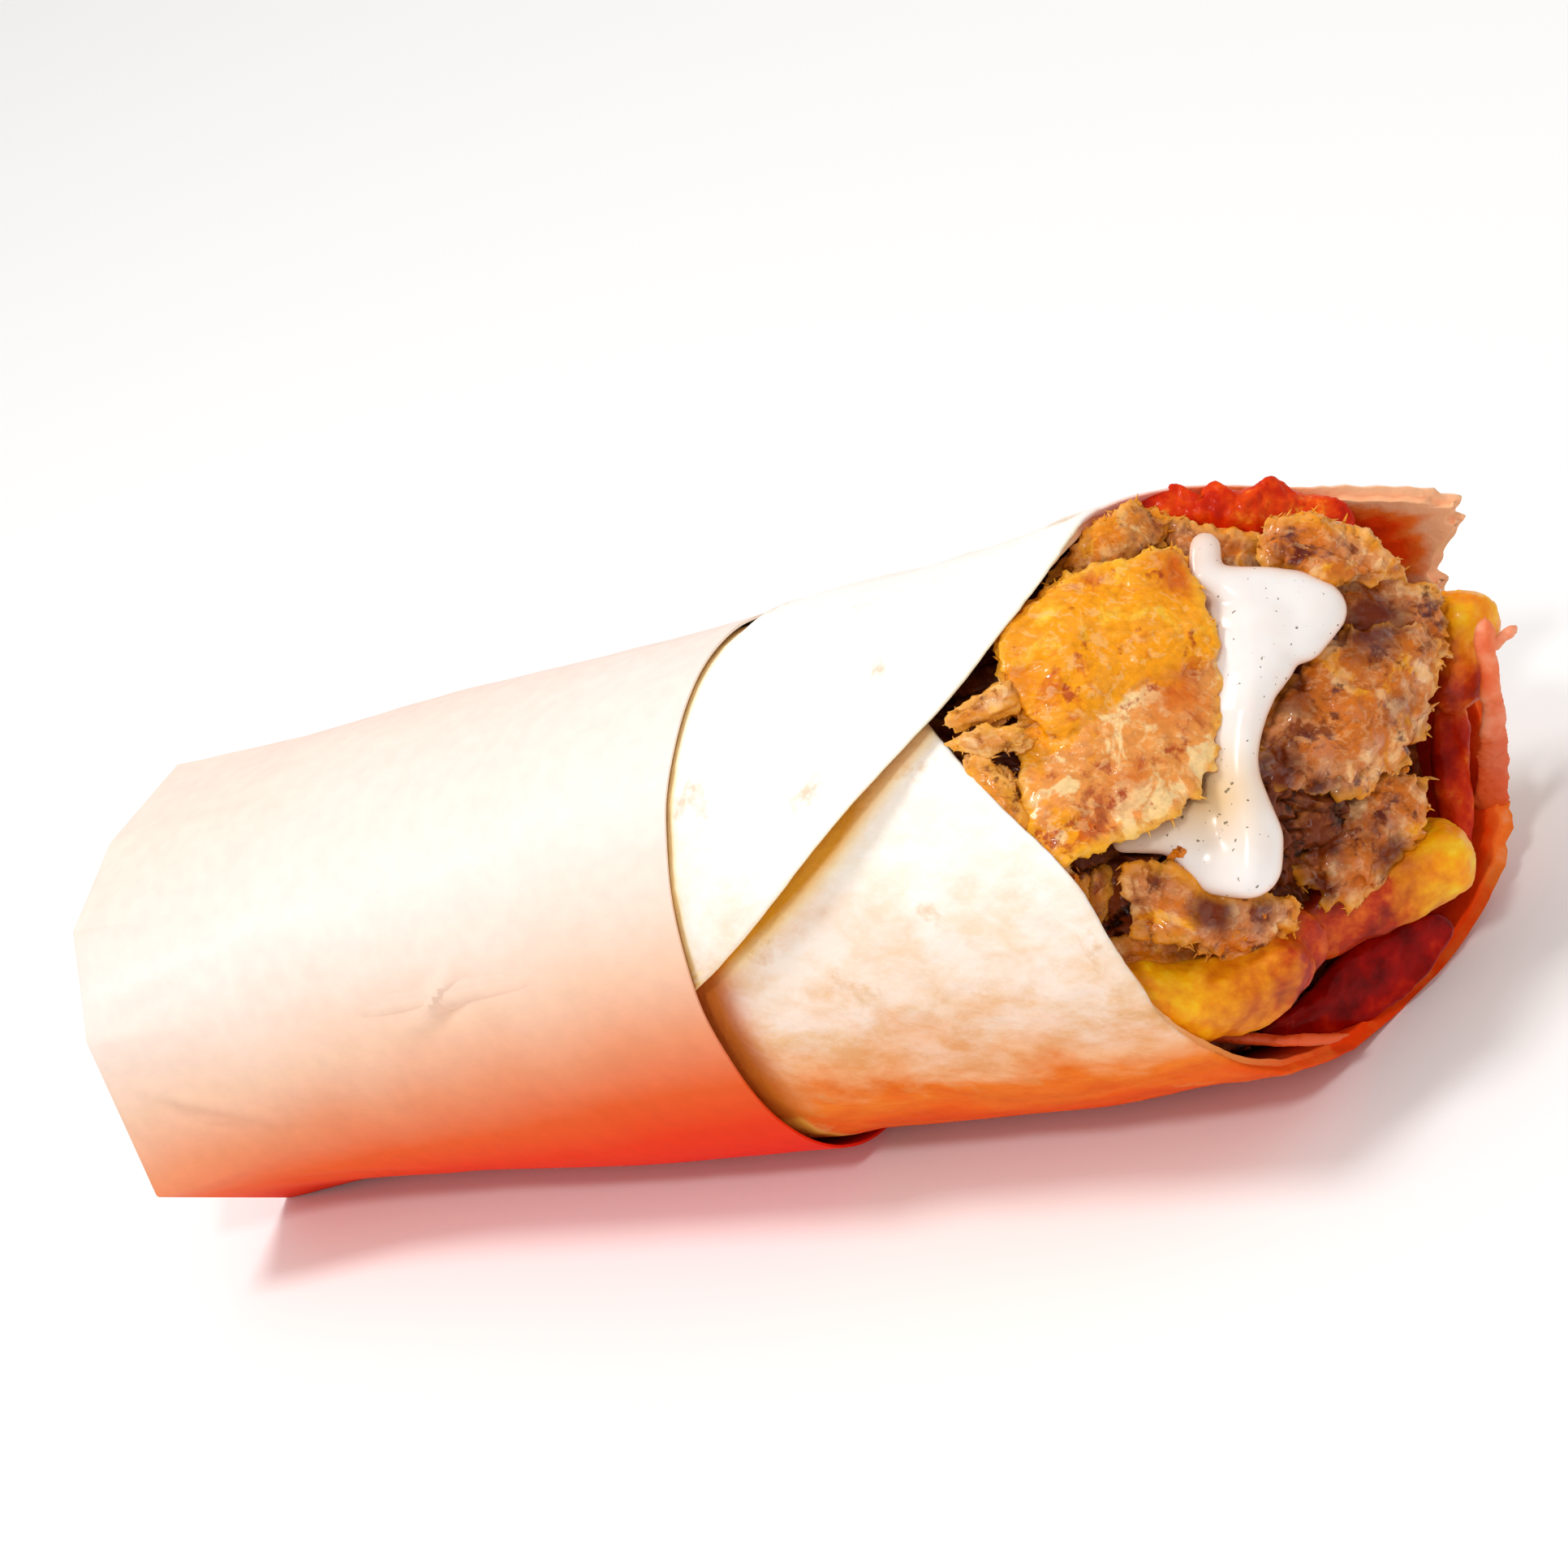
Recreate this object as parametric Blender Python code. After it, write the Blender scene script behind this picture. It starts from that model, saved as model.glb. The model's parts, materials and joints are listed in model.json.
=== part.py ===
"""A gyro wrap lying on its side: a round flatbread rolled round carved meat, fries, tomato and garlic
sauce, its lower half in a folded paper sleeve. The open mouth points along +X and looks up and forwards.

Lengths are in millimetres until finish_solid() turns them into metres. The wrap is worked out in its own
frame: x runs along it from the closed end, and an angle goes round it, in degrees, from the top towards
the front (-Y). At the end everything is set down with the middle of its base at the origin.
"""

import math

import bmesh
import bpy
from mathutils import Vector, noise

MM = 0.001

# The roll, which widens from its closed end to its mouth
END_RADIUS = 29.5
TAPER = 0.0445
FLAT = 0.6  # how far the underside is pressed flat by its own weight

# The paper sleeve
SLEEVE_LENGTH = 100.7
PAPER = 0.6
END_FOLD = 1.2  # the paper lies several layers thick over the closed end
FOLD_LENGTH = 34.0  # the creases of the folded end run out this far along the sleeve
END_CORNERS = (  # (y, z) of the creases where the closed end folds flat
    (14.5, 56.5), (-4.0, 58.6), (-19.1, 55.6), (-28.6, 43.7), (-34.2, 19.9), (-14.5, 0.0),
    (17.0, 0.0), (29.5, 13.0), (31.0, 33.0), (26.5, 48.0),
)
SLEEVE_SWELLS = (  # (x, angle, reach in x, reach in angle, height): where the paper stands off the roll
    (100, 140, 95, 50, 1.7),
    (44, 330, 46, 62, 1.2),
)

# The flatbread, a disc rolled once round with a lap. A turn is an angle along the sheet, 0 in the
# middle of the far wall, growing over the top to the outer flap.
BREAD = 2.0
CLEARANCE = 0.5
LAP_GAP = 0.6
FAR_WALL_ANGLE = 240.0
FIRST_TURN = -230.0
LAST_TURN = 215.0
BREAD_START = 8.0
END_TUCK = 3.0  # the roll draws in at its closed end
RIM = (  # (turn, x) of the sheet's upper edge: low at the lap, high at the far wall
    (-230, 132), (-214, 138), (-174, 157), (-130, 162.5), (-90, 166.5), (-66, 169.5), (-42, 177),
    (-26, 182), (-6, 181.5), (14, 180.5), (27, 179), (44, 185.5), (60, 172), (90, 154.5), (120, 152),
    (146, 142), (164, 129), (180, 115), (198, 96), (215, 72),
)
SWELLS = (  # (x, turn, reach in x, reach in turn, height): where the sheet leaves the round
    (160, 85, 26, 42, 2.2),  # the flap's lip opens over the filling
    (186, 44, 34, 42, 3.6),  # the far wall leans back at its highest corner
    (170, -95, 36, 55, -2.4),  # the lower front draws in towards the mouth
    (114, 100, 14, 50, 0.7),
)
FLAP_LIFT = 3.4  # the flap's slanting edge stands off the layer below
FLAP_LIFT_TURN = 168.0
FLAP_LIFT_REACH = 30.0
FLAP_CURL = 7.0

# The filling
CORE_RECESS = 9.0
CROWN_HEIGHT = 20.0  # how far the packed filling heaps up out of the mouth
CROWN_FALL = 0.0105
MOUTH_CENTRE = Vector((150.0, 0.0, 36.0))
MOUTH_TURN = math.radians(38)  # the mouth looks this far from the front towards +X
MOUTH_TILT = math.radians(30)  # and this far up
MOUTH_ROLL = math.radians(-30)  # its own level, as the roll is held up by its closed end
MOUTH_FACING = Vector((math.sin(MOUTH_TURN) * math.cos(MOUTH_TILT),
                       -math.cos(MOUTH_TURN) * math.cos(MOUTH_TILT), math.sin(MOUTH_TILT)))
LEVEL = Vector((math.cos(MOUTH_TURN), math.sin(MOUTH_TURN), 0.0))
MOUTH_ACROSS = LEVEL * math.cos(MOUTH_ROLL) + MOUTH_FACING.cross(LEVEL) * math.sin(MOUTH_ROLL)
MOUTH_UP = MOUTH_FACING.cross(MOUTH_ACROSS)

# Colours of the plain solids
KRAFT = (0.87, 0.66, 0.50, 1)
WHEAT = (0.95, 0.86, 0.70, 1)
SEARED = (0.72, 0.36, 0.09, 1)
ROAST = (0.36, 0.17, 0.07, 1)
FRIED = (0.93, 0.58, 0.08, 1)
TOMATO = (0.62, 0.06, 0.02, 1)
SAUCE = (0.95, 0.90, 0.85, 1)


def smoothstep(low, high, value):
    t = min(1.0, max(0.0, (value - low) / (high - low)))
    return t * t * (3 - 2 * t)


def bump(value, centre, reach):
    """1 at the centre, falling smoothly to 0 at the reach on either side."""
    return smoothstep(1.0, 0.0, abs(value - centre) / reach)


def curve_through(points, value):
    """A smooth curve y(x) through a few (x, y) points."""
    value = min(max(value, points[0][0]), points[-1][0])
    slopes = []
    for i in range(len(points)):
        (x0, y0), (x1, y1) = points[max(i - 1, 0)], points[min(i + 1, len(points) - 1)]
        slopes.append((y1 - y0) / (x1 - x0))
    for i in range(len(points) - 1):
        (x0, y0), (x1, y1) = points[i], points[i + 1]
        if value <= x1:
            break
    span = x1 - x0
    t = (value - x0) / span
    rise = y0 * (1 + 2 * t) * (1 - t) ** 2 + y1 * t * t * (3 - 2 * t)
    return rise + span * (slopes[i] * t * (1 - t) ** 2 + slopes[i + 1] * t * t * (t - 1))


def closed_curve(points, count):
    """A closed smooth curve of count points through a ring of points, evenly shared between them."""
    total = len(points)
    ring = []
    for k in range(count):
        place = k * total / count
        i, t = int(place), place % 1.0
        p0, p1, p2, p3 = (Vector(points[(i + j - 1) % total]) for j in range(4))
        ring.append(0.5 * (2 * p1 + (p2 - p0) * t + (2 * p0 - 5 * p1 + 4 * p2 - p3) * t * t
                           + (3 * p1 - p0 - 3 * p2 + p3) * t ** 3))
    return ring


# ---------------------------------------------------------------- the roll's own frame

def wrap_radius(x):
    return END_RADIUS + TAPER * x


def wrap_point(x, angle, radius, floor):
    """A point round the roll's axis. The axis is as high as the roll is thick, so it lies along a line."""
    a = math.radians(angle)
    height = wrap_radius(x) - FLAT + radius * math.cos(a)
    return Vector((x, -radius * math.sin(a), max(floor, height)))


def mouth_point(across, up, out):
    """A point given across, up and out of the mouth, as it is seen by whoever is about to bite."""
    return MOUTH_CENTRE + across * MOUTH_ACROSS + up * MOUTH_UP + out * MOUTH_FACING


# ---------------------------------------------------------------- solids

def material(name, colour, roughness):
    made = bpy.data.materials.new(name)
    made.use_nodes = True
    shader = made.node_tree.nodes["Principled BSDF"]
    shader.inputs["Base Color"].default_value = colour
    shader.inputs["Roughness"].default_value = roughness
    shader.inputs["Metallic"].default_value = 0.0
    return made


def finish_solid(name, shape, finish):
    """Makes the object of one closed shape, its faces pointing out and its size in metres."""
    bmesh.ops.recalc_face_normals(shape, faces=shape.faces)
    bmesh.ops.scale(shape, vec=(MM, MM, MM), verts=shape.verts)
    mesh = bpy.data.meshes.new(name)
    shape.to_mesh(mesh)
    shape.free()
    mesh.materials.append(finish)
    mesh.shade_smooth()
    mesh.set_sharp_from_angle(angle=math.radians(40))
    piece = bpy.data.objects.new(name, mesh)
    bpy.context.scene.collection.objects.link(piece)
    return piece


def add_rings(shape, rings, closed):
    """Adds rings of points and the faces between neighbouring rings, and returns their vertices."""
    made = [[shape.verts.new(p) for p in ring] for ring in rings]
    for low, high in zip(made, made[1:]):
        join_rings(shape, low, high, closed)
    return made


def join_rings(shape, low, high, closed):
    last = len(low) if closed else len(low) - 1
    for i in range(last):
        j = (i + 1) % len(low)
        shape.faces.new((low[i], low[j], high[j], high[i]))


def add_cap(shape, ring, centre):
    """Closes a ring with a fan to a centre point."""
    hub = shape.verts.new(centre)
    for i, vertex in enumerate(ring):
        shape.faces.new((vertex, ring[(i + 1) % len(ring)], hub))


def keep_largest_body(shape):
    """Drops the crumbs that a cut leaves beside the main body."""
    left = set(shape.verts)
    bodies = []
    while left:
        front = [left.pop()]
        body = set(front)
        while front:
            for edge in front.pop().link_edges:
                for vertex in edge.verts:
                    if vertex in left:
                        left.discard(vertex)
                        body.add(vertex)
                        front.append(vertex)
        bodies.append(body)
    bodies.sort(key=len, reverse=True)
    bmesh.ops.delete(shape, geom=[v for body in bodies[1:] for v in body], context="VERTS")


def boxes_meet(a, b):
    corners_a = [Vector(c) for c in a.bound_box]
    corners_b = [Vector(c) for c in b.bound_box]
    return all(min(p[i] for p in corners_a) < max(q[i] for q in corners_b) + CLEARANCE * MM
               and min(q[i] for q in corners_b) < max(p[i] for p in corners_a) + CLEARANCE * MM
               for i in range(3))


def make_room(piece, neighbours):
    """Cuts a piece back from its neighbours, so that food presses together with a hair's gap."""
    cutters = []
    for other in neighbours:
        if not boxes_meet(piece, other):
            continue
        cutter = other.copy()
        cutter.data = other.data.copy()
        swollen = bmesh.new()
        swollen.from_mesh(cutter.data)
        swollen.normal_update()
        for vertex, normal in [(v, v.normal.copy()) for v in swollen.verts]:
            vertex.co += normal * CLEARANCE * MM
        swollen.to_mesh(cutter.data)
        swollen.free()
        bpy.context.scene.collection.objects.link(cutter)
        modifier = piece.modifiers.new("room", "BOOLEAN")
        modifier.operation = "DIFFERENCE"
        modifier.solver = "EXACT"
        modifier.object = cutter
        cutters.append(cutter)
    graph = bpy.context.evaluated_depsgraph_get()
    trimmed = bmesh.new()
    trimmed.from_mesh(piece.evaluated_get(graph).to_mesh())
    piece.modifiers.clear()
    keep_largest_body(trimmed)
    bmesh.ops.dissolve_limit(trimmed, angle_limit=math.radians(3), verts=trimmed.verts, edges=trimmed.edges)
    bmesh.ops.triangulate(trimmed, faces=trimmed.faces)
    trimmed.to_mesh(piece.data)
    trimmed.free()
    for cutter in cutters:
        bpy.data.objects.remove(cutter)


# ---------------------------------------------------------------- paper sleeve

def end_fold_radius(angle):
    """Where a ray from the roll's axis meets the folded outline of the closed end."""
    a = math.radians(angle)
    ray = Vector((-math.sin(a), math.cos(a)))
    axis = Vector((0.0, wrap_radius(0.0) - FLAT))
    best = END_RADIUS
    for i, corner in enumerate(END_CORNERS):
        start = Vector(corner) - axis
        along = Vector(END_CORNERS[(i + 1) % len(END_CORNERS)]) - axis - start
        turn = ray.x * along.y - ray.y * along.x
        if abs(turn) < 1e-9:
            continue
        reach = (start.x * along.y - start.y * along.x) / turn
        share = (start.x * ray.y - start.y * ray.x) / turn
        if reach > 0 and -1e-9 <= share <= 1 + 1e-9:
            best = reach
    return best


def sleeve_radius(x, angle):
    round_section = wrap_radius(x)
    for at_x, at_angle, reach_x, reach_angle, height in SLEEVE_SWELLS:
        off = (angle - at_angle + 180) % 360 - 180
        round_section += height * bump(x, at_x, reach_x) * bump(off, 0, reach_angle)
    fold = 1 - smoothstep(0, FOLD_LENGTH, x)
    return round_section + (end_fold_radius(angle) - round_section) * fold


def make_sleeve():
    """A cup of kraft paper: a round wall whose closed end is creased flat."""
    around = 44
    axis_z = wrap_radius(0.0) - FLAT
    creases = [math.degrees(math.atan2(-y, z - axis_z)) % 360 for y, z in END_CORNERS]
    even = [360 * i / around for i in range(around)]
    spare = [a for a in even if all(abs((a - c + 180) % 360 - 180) > 4 for c in creases)]
    angles = sorted(spare + creases)
    stations = (0, 9, 20, FOLD_LENGTH, 58, 80, SLEEVE_LENGTH)

    def ring(x, inset, at=None):
        return [wrap_point(x if at is None else at, a, sleeve_radius(x, a) - inset, inset) for a in angles]

    shape = bmesh.new()
    outer = add_rings(shape, [ring(x, 0.0) for x in stations], True)
    inner = add_rings(shape, [ring(x, PAPER, max(x, END_FOLD)) for x in stations], True)
    join_rings(shape, outer[-1], inner[-1], True)
    add_cap(shape, outer[0], (0.0, 0.0, axis_z))
    add_cap(shape, inner[0], (END_FOLD, 0.0, axis_z))
    return finish_solid("paper_sleeve", shape, material("kraft_paper", KRAFT, 0.8))


# ---------------------------------------------------------------- flatbread

def rim(turn):
    return curve_through(RIM, turn)


def flap_lift(x, turn):
    from_edge = max(0.0, rim(turn) - x)
    return FLAP_LIFT * bump(turn, FLAP_LIFT_TURN, FLAP_LIFT_REACH) * math.exp(-from_edge / FLAP_CURL)


def bread_radius(x, turn):
    """Outer radius of the rolled sheet: inside the sleeve it is held, past the sleeve it relaxes."""
    under_flap = 1 - smoothstep(-170, -60, turn)
    radius = wrap_radius(x) - PAPER - CLEARANCE - under_flap * (BREAD + LAP_GAP)
    radius -= END_TUCK * (1 - smoothstep(BREAD_START, FOLD_LENGTH, x))
    free = smoothstep(SLEEVE_LENGTH + 1, SLEEVE_LENGTH + 10, x)
    radius += free * (PAPER + CLEARANCE)
    for swell_x, swell_turn, reach_x, reach_turn, height in SWELLS:
        radius += free * height * bump(x, swell_x, reach_x) * bump(turn, swell_turn, reach_turn)
    return radius + free * flap_lift(x, turn)


def bread_floor(x):
    return (PAPER + CLEARANCE) * (1 - smoothstep(SLEEVE_LENGTH + 1, SLEEVE_LENGTH + 10, x))


def bread_point(x, turn, depth):
    """A point that deep below the sheet's outer face."""
    return wrap_point(x, FAR_WALL_ANGLE + turn, bread_radius(x, turn) - depth, bread_floor(x) + depth)


def make_flatbread():
    columns, held_rows, free_rows = 46, 4, 7
    turns = [FIRST_TURN + (LAST_TURN - FIRST_TURN) * i / columns for i in range(columns + 1)]

    def row_x(j, turn):
        """The first rows are held by the sleeve, the rest stand free up to the sheet's edge."""
        top = rim(turn)
        held = min(SLEEVE_LENGTH + 1, BREAD_START + 0.8 * (top - BREAD_START))
        if j <= held_rows:
            return BREAD_START + (held - BREAD_START) * j / held_rows
        return held + (top - held) * (j - held_rows) / free_rows

    def face_rows(depth):
        return [[bread_point(row_x(j, t), t, depth) for t in turns]
                for j in range(held_rows + free_rows + 1)]

    shape = bmesh.new()
    outer = add_rings(shape, face_rows(0.0), False)
    inner = add_rings(shape, face_rows(BREAD), False)
    join_rings(shape, outer[0], inner[0], False)
    join_rings(shape, outer[-1], inner[-1], False)
    for side in (0, -1):
        join_rings(shape, [row[side] for row in outer], [row[side] for row in inner], False)
    return finish_solid("flatbread", shape, material("wheat_flatbread", WHEAT, 0.85))


# ---------------------------------------------------------------- filling

def inner_turn(angle):
    """The turn of the innermost layer of bread at an angle round the roll."""
    return (angle - FAR_WALL_ANGLE - FIRST_TURN) % 360 + FIRST_TURN


def core_radius(x, angle):
    """Keeps inside the innermost layer, past the step at the sheet's inner edge too."""
    near = [bread_radius(x, inner_turn(angle + shift)) for shift in (-14, -7, 0, 7, 14)]
    return min(near) - BREAD - CLEARANCE


def crown_height(across, up):
    """How far the heaped filling stands out of the mouth: a dome with a hollow at the lower right."""
    dome = CROWN_HEIGHT - CROWN_FALL * ((across + 6) ** 2 + (up + 2) ** 2)
    return dome - 0.02 * max(0.0, across) * max(0.0, -up)


def make_core():
    """The packed shavings behind the pieces that show, from the closed end to the mouth."""
    around = 28
    angles = [360 * i / around for i in range(around)]
    tops = [min(rim(inner_turn(a + shift)) for shift in (-14, 0, 14)) - CORE_RECESS for a in angles]
    start = BREAD_START

    def wall(share):
        ring = []
        for a, top in zip(angles, tops):
            x = start + (top - start) * share
            ring.append(wrap_point(x, a, core_radius(x, a), bread_floor(x) + BREAD + CLEARANCE))
        return ring

    rings = [wall(share) for share in (0, 0.2, 0.45, 0.7, 0.88, 1)]
    edge = [(p.dot(MOUTH_ACROSS), p.dot(MOUTH_UP), p.dot(MOUTH_FACING))
            for p in (point - MOUTH_CENTRE for point in rings[-1])]
    for share in (0.86, 0.68, 0.45, 0.22):
        crown = []
        for across, up, out in edge:
            u, v = 6 + (across - 6) * share, 4 + (up - 4) * share
            lump = 2.4 * noise.noise(Vector((u, v, 0)) * 0.16)
            w = crown_height(u, v) + lump
            crown.append(mouth_point(u, v, w + (out - w) * share ** 6))
        rings.append(crown)
    shape = bmesh.new()
    made = add_rings(shape, rings, True)
    add_cap(shape, made[0], (start, 0, wrap_radius(start) - FLAT))
    add_cap(shape, made[-1], mouth_point(6, 4, crown_height(6, 4)))
    return finish_solid("meat_core", shape, material("packed_meat", ROAST, 0.6))


def make_slab(name, outline, out, slope, thickness, dome, finish, ragged=0.5, count=20):
    """A slice lying in the mouth: an outline across and up, at a height out of the mouth that slopes
    with (across, up), thickest in its middle and torn along its edge."""
    middle = sum((Vector(p) for p in outline), Vector((0, 0))) / len(outline)
    edge = []
    for p in closed_curve(outline, count):
        tear = noise.noise(Vector((p.x, p.y, out)) * 0.45)
        edge.append(p + (p - middle).normalized() * ragged * 2 * tear)

    def ring(share, side):
        found = []
        for p in edge:
            q = middle.lerp(p, share)
            offset = q - middle
            height = out + slope[0] * offset.x + slope[1] * offset.y + dome * (1 - share * share)
            half = thickness / 2 * (1 - 0.45 * share ** 4)
            found.append(mouth_point(q.x, q.y, height + side * half))
        return found

    shape = bmesh.new()
    shares = (1.0, 0.62)
    made = add_rings(shape, [ring(s, 1) for s in reversed(shares)] + [ring(s, -1) for s in shares], True)
    top = mouth_point(middle.x, middle.y, out + dome + thickness / 2)
    add_cap(shape, made[0], top)
    add_cap(shape, made[-1], top - thickness * MOUTH_FACING)
    return finish_solid(name, shape, finish)


def make_fry(name, ends, width, depth, bend, finish):
    """A cut potato stick between two ends, with rounded corners and a slight bend out of the mouth."""
    start, end = (mouth_point(*p) for p in ends)
    along = (end - start).normalized()
    side = along.cross(MOUTH_FACING).normalized()
    up = side.cross(along)
    corner = 0.28
    section = []
    for sx, sy in ((1, 1), (-1, 1), (-1, -1), (1, -1)):
        pair = [(sx * (0.5 - corner), sy * 0.5), (sx * 0.5, sy * (0.5 - corner))]
        section += pair if sx * sy < 0 else pair[::-1]
    shape = bmesh.new()
    rings = []
    for share, size in ((0, 0.72), (0.08, 1), (0.5, 1.02), (0.92, 1), (1, 0.76)):
        middle = start.lerp(end, share) + up * bend * (1 - (2 * share - 1) ** 2)
        rings.append([middle + side * (x * width * size) + up * (y * depth * size) for x, y in section])
    made = add_rings(shape, rings, True)
    shape.faces.new(made[0])
    shape.faces.new(made[-1])
    return finish_solid(name, shape, finish)


SAUCE_OUTLINE = (
    (2.9, 29.0), (4.6, 32.6), (7.0, 31.4), (8.4, 28.8), (13.0, 29.6), (19.4, 28.6), (21.8, 25.2),
    (19.6, 20.6), (14.4, 14.2), (11.6, 8.4), (11.6, 3.4), (14.2, -1.6), (13.6, -7.0), (8.6, -10.2),
    (3.0, -8.8), (0.2, -5.6), (-6.2, -4.0), (-1.0, -1.6), (4.4, 1.6), (6.4, 8.0), (6.2, 13.6),
    (7.4, 17.6), (5.6, 22.4), (4.6, 26.4),
)


def make_sauce(finish):
    """A thick pour over the two large slices: a pillow with rounded lobes that sags over what is below."""
    edge = closed_curve(SAUCE_OUTLINE, 46)
    count = len(edge)

    def height(across, up):
        slope = 0.35 if up > 12 else 0.15
        return 23.5 - 0.15 * (across - 8) - slope * (up - 12)

    def ring(inset, rise):
        found = []
        for i, p in enumerate(edge):
            along = (edge[(i + 1) % count] - edge[i - 1]).normalized()
            q = p + Vector((along.y, -along.x)) * inset
            found.append(mouth_point(q.x, q.y, height(p.x, p.y) + rise))
        return found

    shape = bmesh.new()
    made = add_rings(shape, [ring(1.3, 2.4), ring(0.35, 1.4), ring(0, 0), ring(0.5, -3.2)], True)
    for loop in (made[0], made[-1]):
        edges = [shape.edges.get((v, loop[(i + 1) % count])) for i, v in enumerate(loop)]
        bmesh.ops.triangle_fill(shape, use_beauty=True, use_dissolve=False, edges=edges)
    return finish_solid("garlic_sauce", shape, finish)


def make_slices(seared, roast):
    """The carved slices and shavings that show, the foremost first. Outlines are across and up."""
    slabs = (
        ("slice_large_front", seared, 20.5, (-0.05, -0.32), 4.2, 1.6, 24, (
            (-18.7, 22.4), (-12.2, 27.4), (-3.0, 31.0), (6.5, 30.8), (9.4, 20.0), (8.2, 10.0),
            (8.0, 2.6), (2.2, -3.0), (-6.4, -4.6), (-13.6, -5.8), (-16.8, 1.0), (-17.2, 9.0),
            (-19.4, 16.5))),
        ("slice_right", roast, 12.5, (-0.36, -0.08), 5.0, 1.8, 22, (
            (10.5, 8.0), (16.5, 17.0), (23.4, 22.6), (34.0, 23.0), (35.6, 17.5), (33.3, 8.6),
            (27.2, 2.4), (19.4, 1.0), (12.0, 2.6))),
        ("slice_low_front", seared, 20.5, (-0.28, 0.10), 3.6, 1.0, 20, (
            (-4.6, -7.2), (0.5, -6.4), (7.3, -9.4), (17.0, -10.4), (16.0, -14.8), (9.4, -18.6),
            (2.4, -15.4), (-3.4, -14.4))),
        ("slice_lower_right", roast, 8.0, (-0.30, -0.05), 4.2, 1.2, 20, (
            (16.6, -5.8), (21.0, 0.4), (27.2, 5.0), (33.2, 4.0), (34.4, -3.0), (31.0, -9.6),
            (26.4, -8.6), (21.6, -8.2))),
        ("slice_right_upper", roast, 6.0, (-0.30, -0.22), 5.0, 1.0, 18, (
            (17.6, 30.0), (26.0, 31.6), (35.6, 30.4), (38.0, 24.6), (36.4, 18.6), (27.0, 19.0),
            (18.4, 23.6))),
        ("slice_top_glazed", roast, 10.0, (-0.15, -0.35), 4.6, 1.2, 16, (
            (13.0, 34.2), (19.0, 35.6), (27.0, 32.4), (31.2, 28.4), (22.6, 26.6), (13.6, 29.2))),
        ("slice_behind_flap", seared, 8.5, (-0.20, -0.30), 3.6, 0.8, 16, (
            (-13.0, 27.6), (-8.1, 33.4), (-2.4, 37.6), (3.0, 35.4), (1.2, 30.6), (-5.8, 28.2))),
        ("slice_top_back", roast, 5.0, (-0.10, -0.25), 4.0, 0.8, 14, (
            (0.2, 35.6), (8.0, 34.6), (15.4, 32.0), (13.6, 27.8), (2.0, 29.4))),
        ("slice_low_small", seared, 17.5, (-0.28, 0.12), 2.4, 0.4, 14, (
            (-7.6, -15.8), (-0.8, -14.6), (9.6, -16.6), (8.6, -19.0), (-4.8, -19.0))),
        ("shaving_left_upper", seared, 23.0, (0.10, -0.20), 3.6, 0.2, 12, (
            (-25.2, 11.4), (-17.4, 15.6), (-16.6, 12.4), (-23.6, 9.0))),
        ("shaving_left_middle", seared, 25.5, (0.05, -0.15), 3.0, 0.2, 12, (
            (-25.6, 7.8), (-21.0, 10.0), (-15.6, 9.2), (-19.6, 6.2))),
        ("shaving_left_lower", seared, 25.0, (0.05, -0.10), 3.4, 0.2, 12, (
            (-23.6, 5.6), (-20.4, 6.2), (-15.0, -2.0), (-17.8, -2.8))),
        ("shaving_low_left", roast, 21.5, (0.10, 0.05), 5.0, 0.2, 12, (
            (-15.8, -9.4), (-14.2, -5.0), (-10.8, -6.0), (-8.8, -11.6), (-10.6, -14.0))),
        ("shaving_low_middle", roast, 19.0, (-0.10, 0.05), 5.0, 0.2, 12, (
            (-9.6, -14.6), (-8.4, -7.4), (-5.4, -6.4), (-6.0, -13.4))),
    )
    return [make_slab(name, outline, out, slope, thickness, dome, finish, count=count)
            for name, finish, out, slope, thickness, dome, count, outline in slabs]


def make_fries(fried):
    sticks = (
        ("fry_front", ((-6.0, -21.6, 19.0), (14.6, -22.0, 14.0)), 8.8, 9.0, 0.8),
        ("fry_front_inner", ((10.0, -23.6, 8.0), (19.0, -13.0, 11.0)), 8.6, 8.6, 0.4),
        ("fry_lower_right", ((17.0, -14.4, 2.0), (39.6, -5.6, 1.0)), 9.6, 9.2, 0.6),
        ("fry_upper_right", ((39.0, 10.0, -3.0), (40.2, 26.4, -1.0)), 7.4, 8.0, 0.5),
    )
    return [make_fry(*stick, fried) for stick in sticks]


def make_tomatoes(tomato):
    slabs = (
        ("tomato_lower", -3.5, (-0.20, 0.10), 4.0, 18, (
            (14.0, -27.6), (19.5, -22.9), (24.5, -17.6), (31.0, -14.0), (36.6, -12.6), (38.8, -15.0),
            (34.6, -21.4), (28.5, -26.0), (21.5, -28.6))),
        ("tomato_right", -9.0, (-0.10, 0.02), 3.4, 18, (
            (36.4, 11.4), (38.8, 15.0), (41.0, 12.0), (41.4, 5.4), (41.8, -1.3), (41.0, -6.4),
            (39.4, -8.4), (37.6, -3.3), (36.4, 4.0))),
        ("tomato_top", 1.5, (-0.10, -0.10), 4.4, 22, (
            (-1.6, 38.0), (3.0, 40.2), (6.4, 38.8), (9.4, 40.2), (15.8, 41.0), (22.0, 39.0),
            (29.2, 38.6), (30.4, 33.6), (26.8, 30.6), (17.6, 31.4), (8.8, 33.6), (1.0, 34.8))),
    )
    return [make_slab(name, outline, out, slope, thickness, 0.4, tomato, ragged=0.2, count=count)
            for name, out, slope, thickness, count, outline in slabs]


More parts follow.
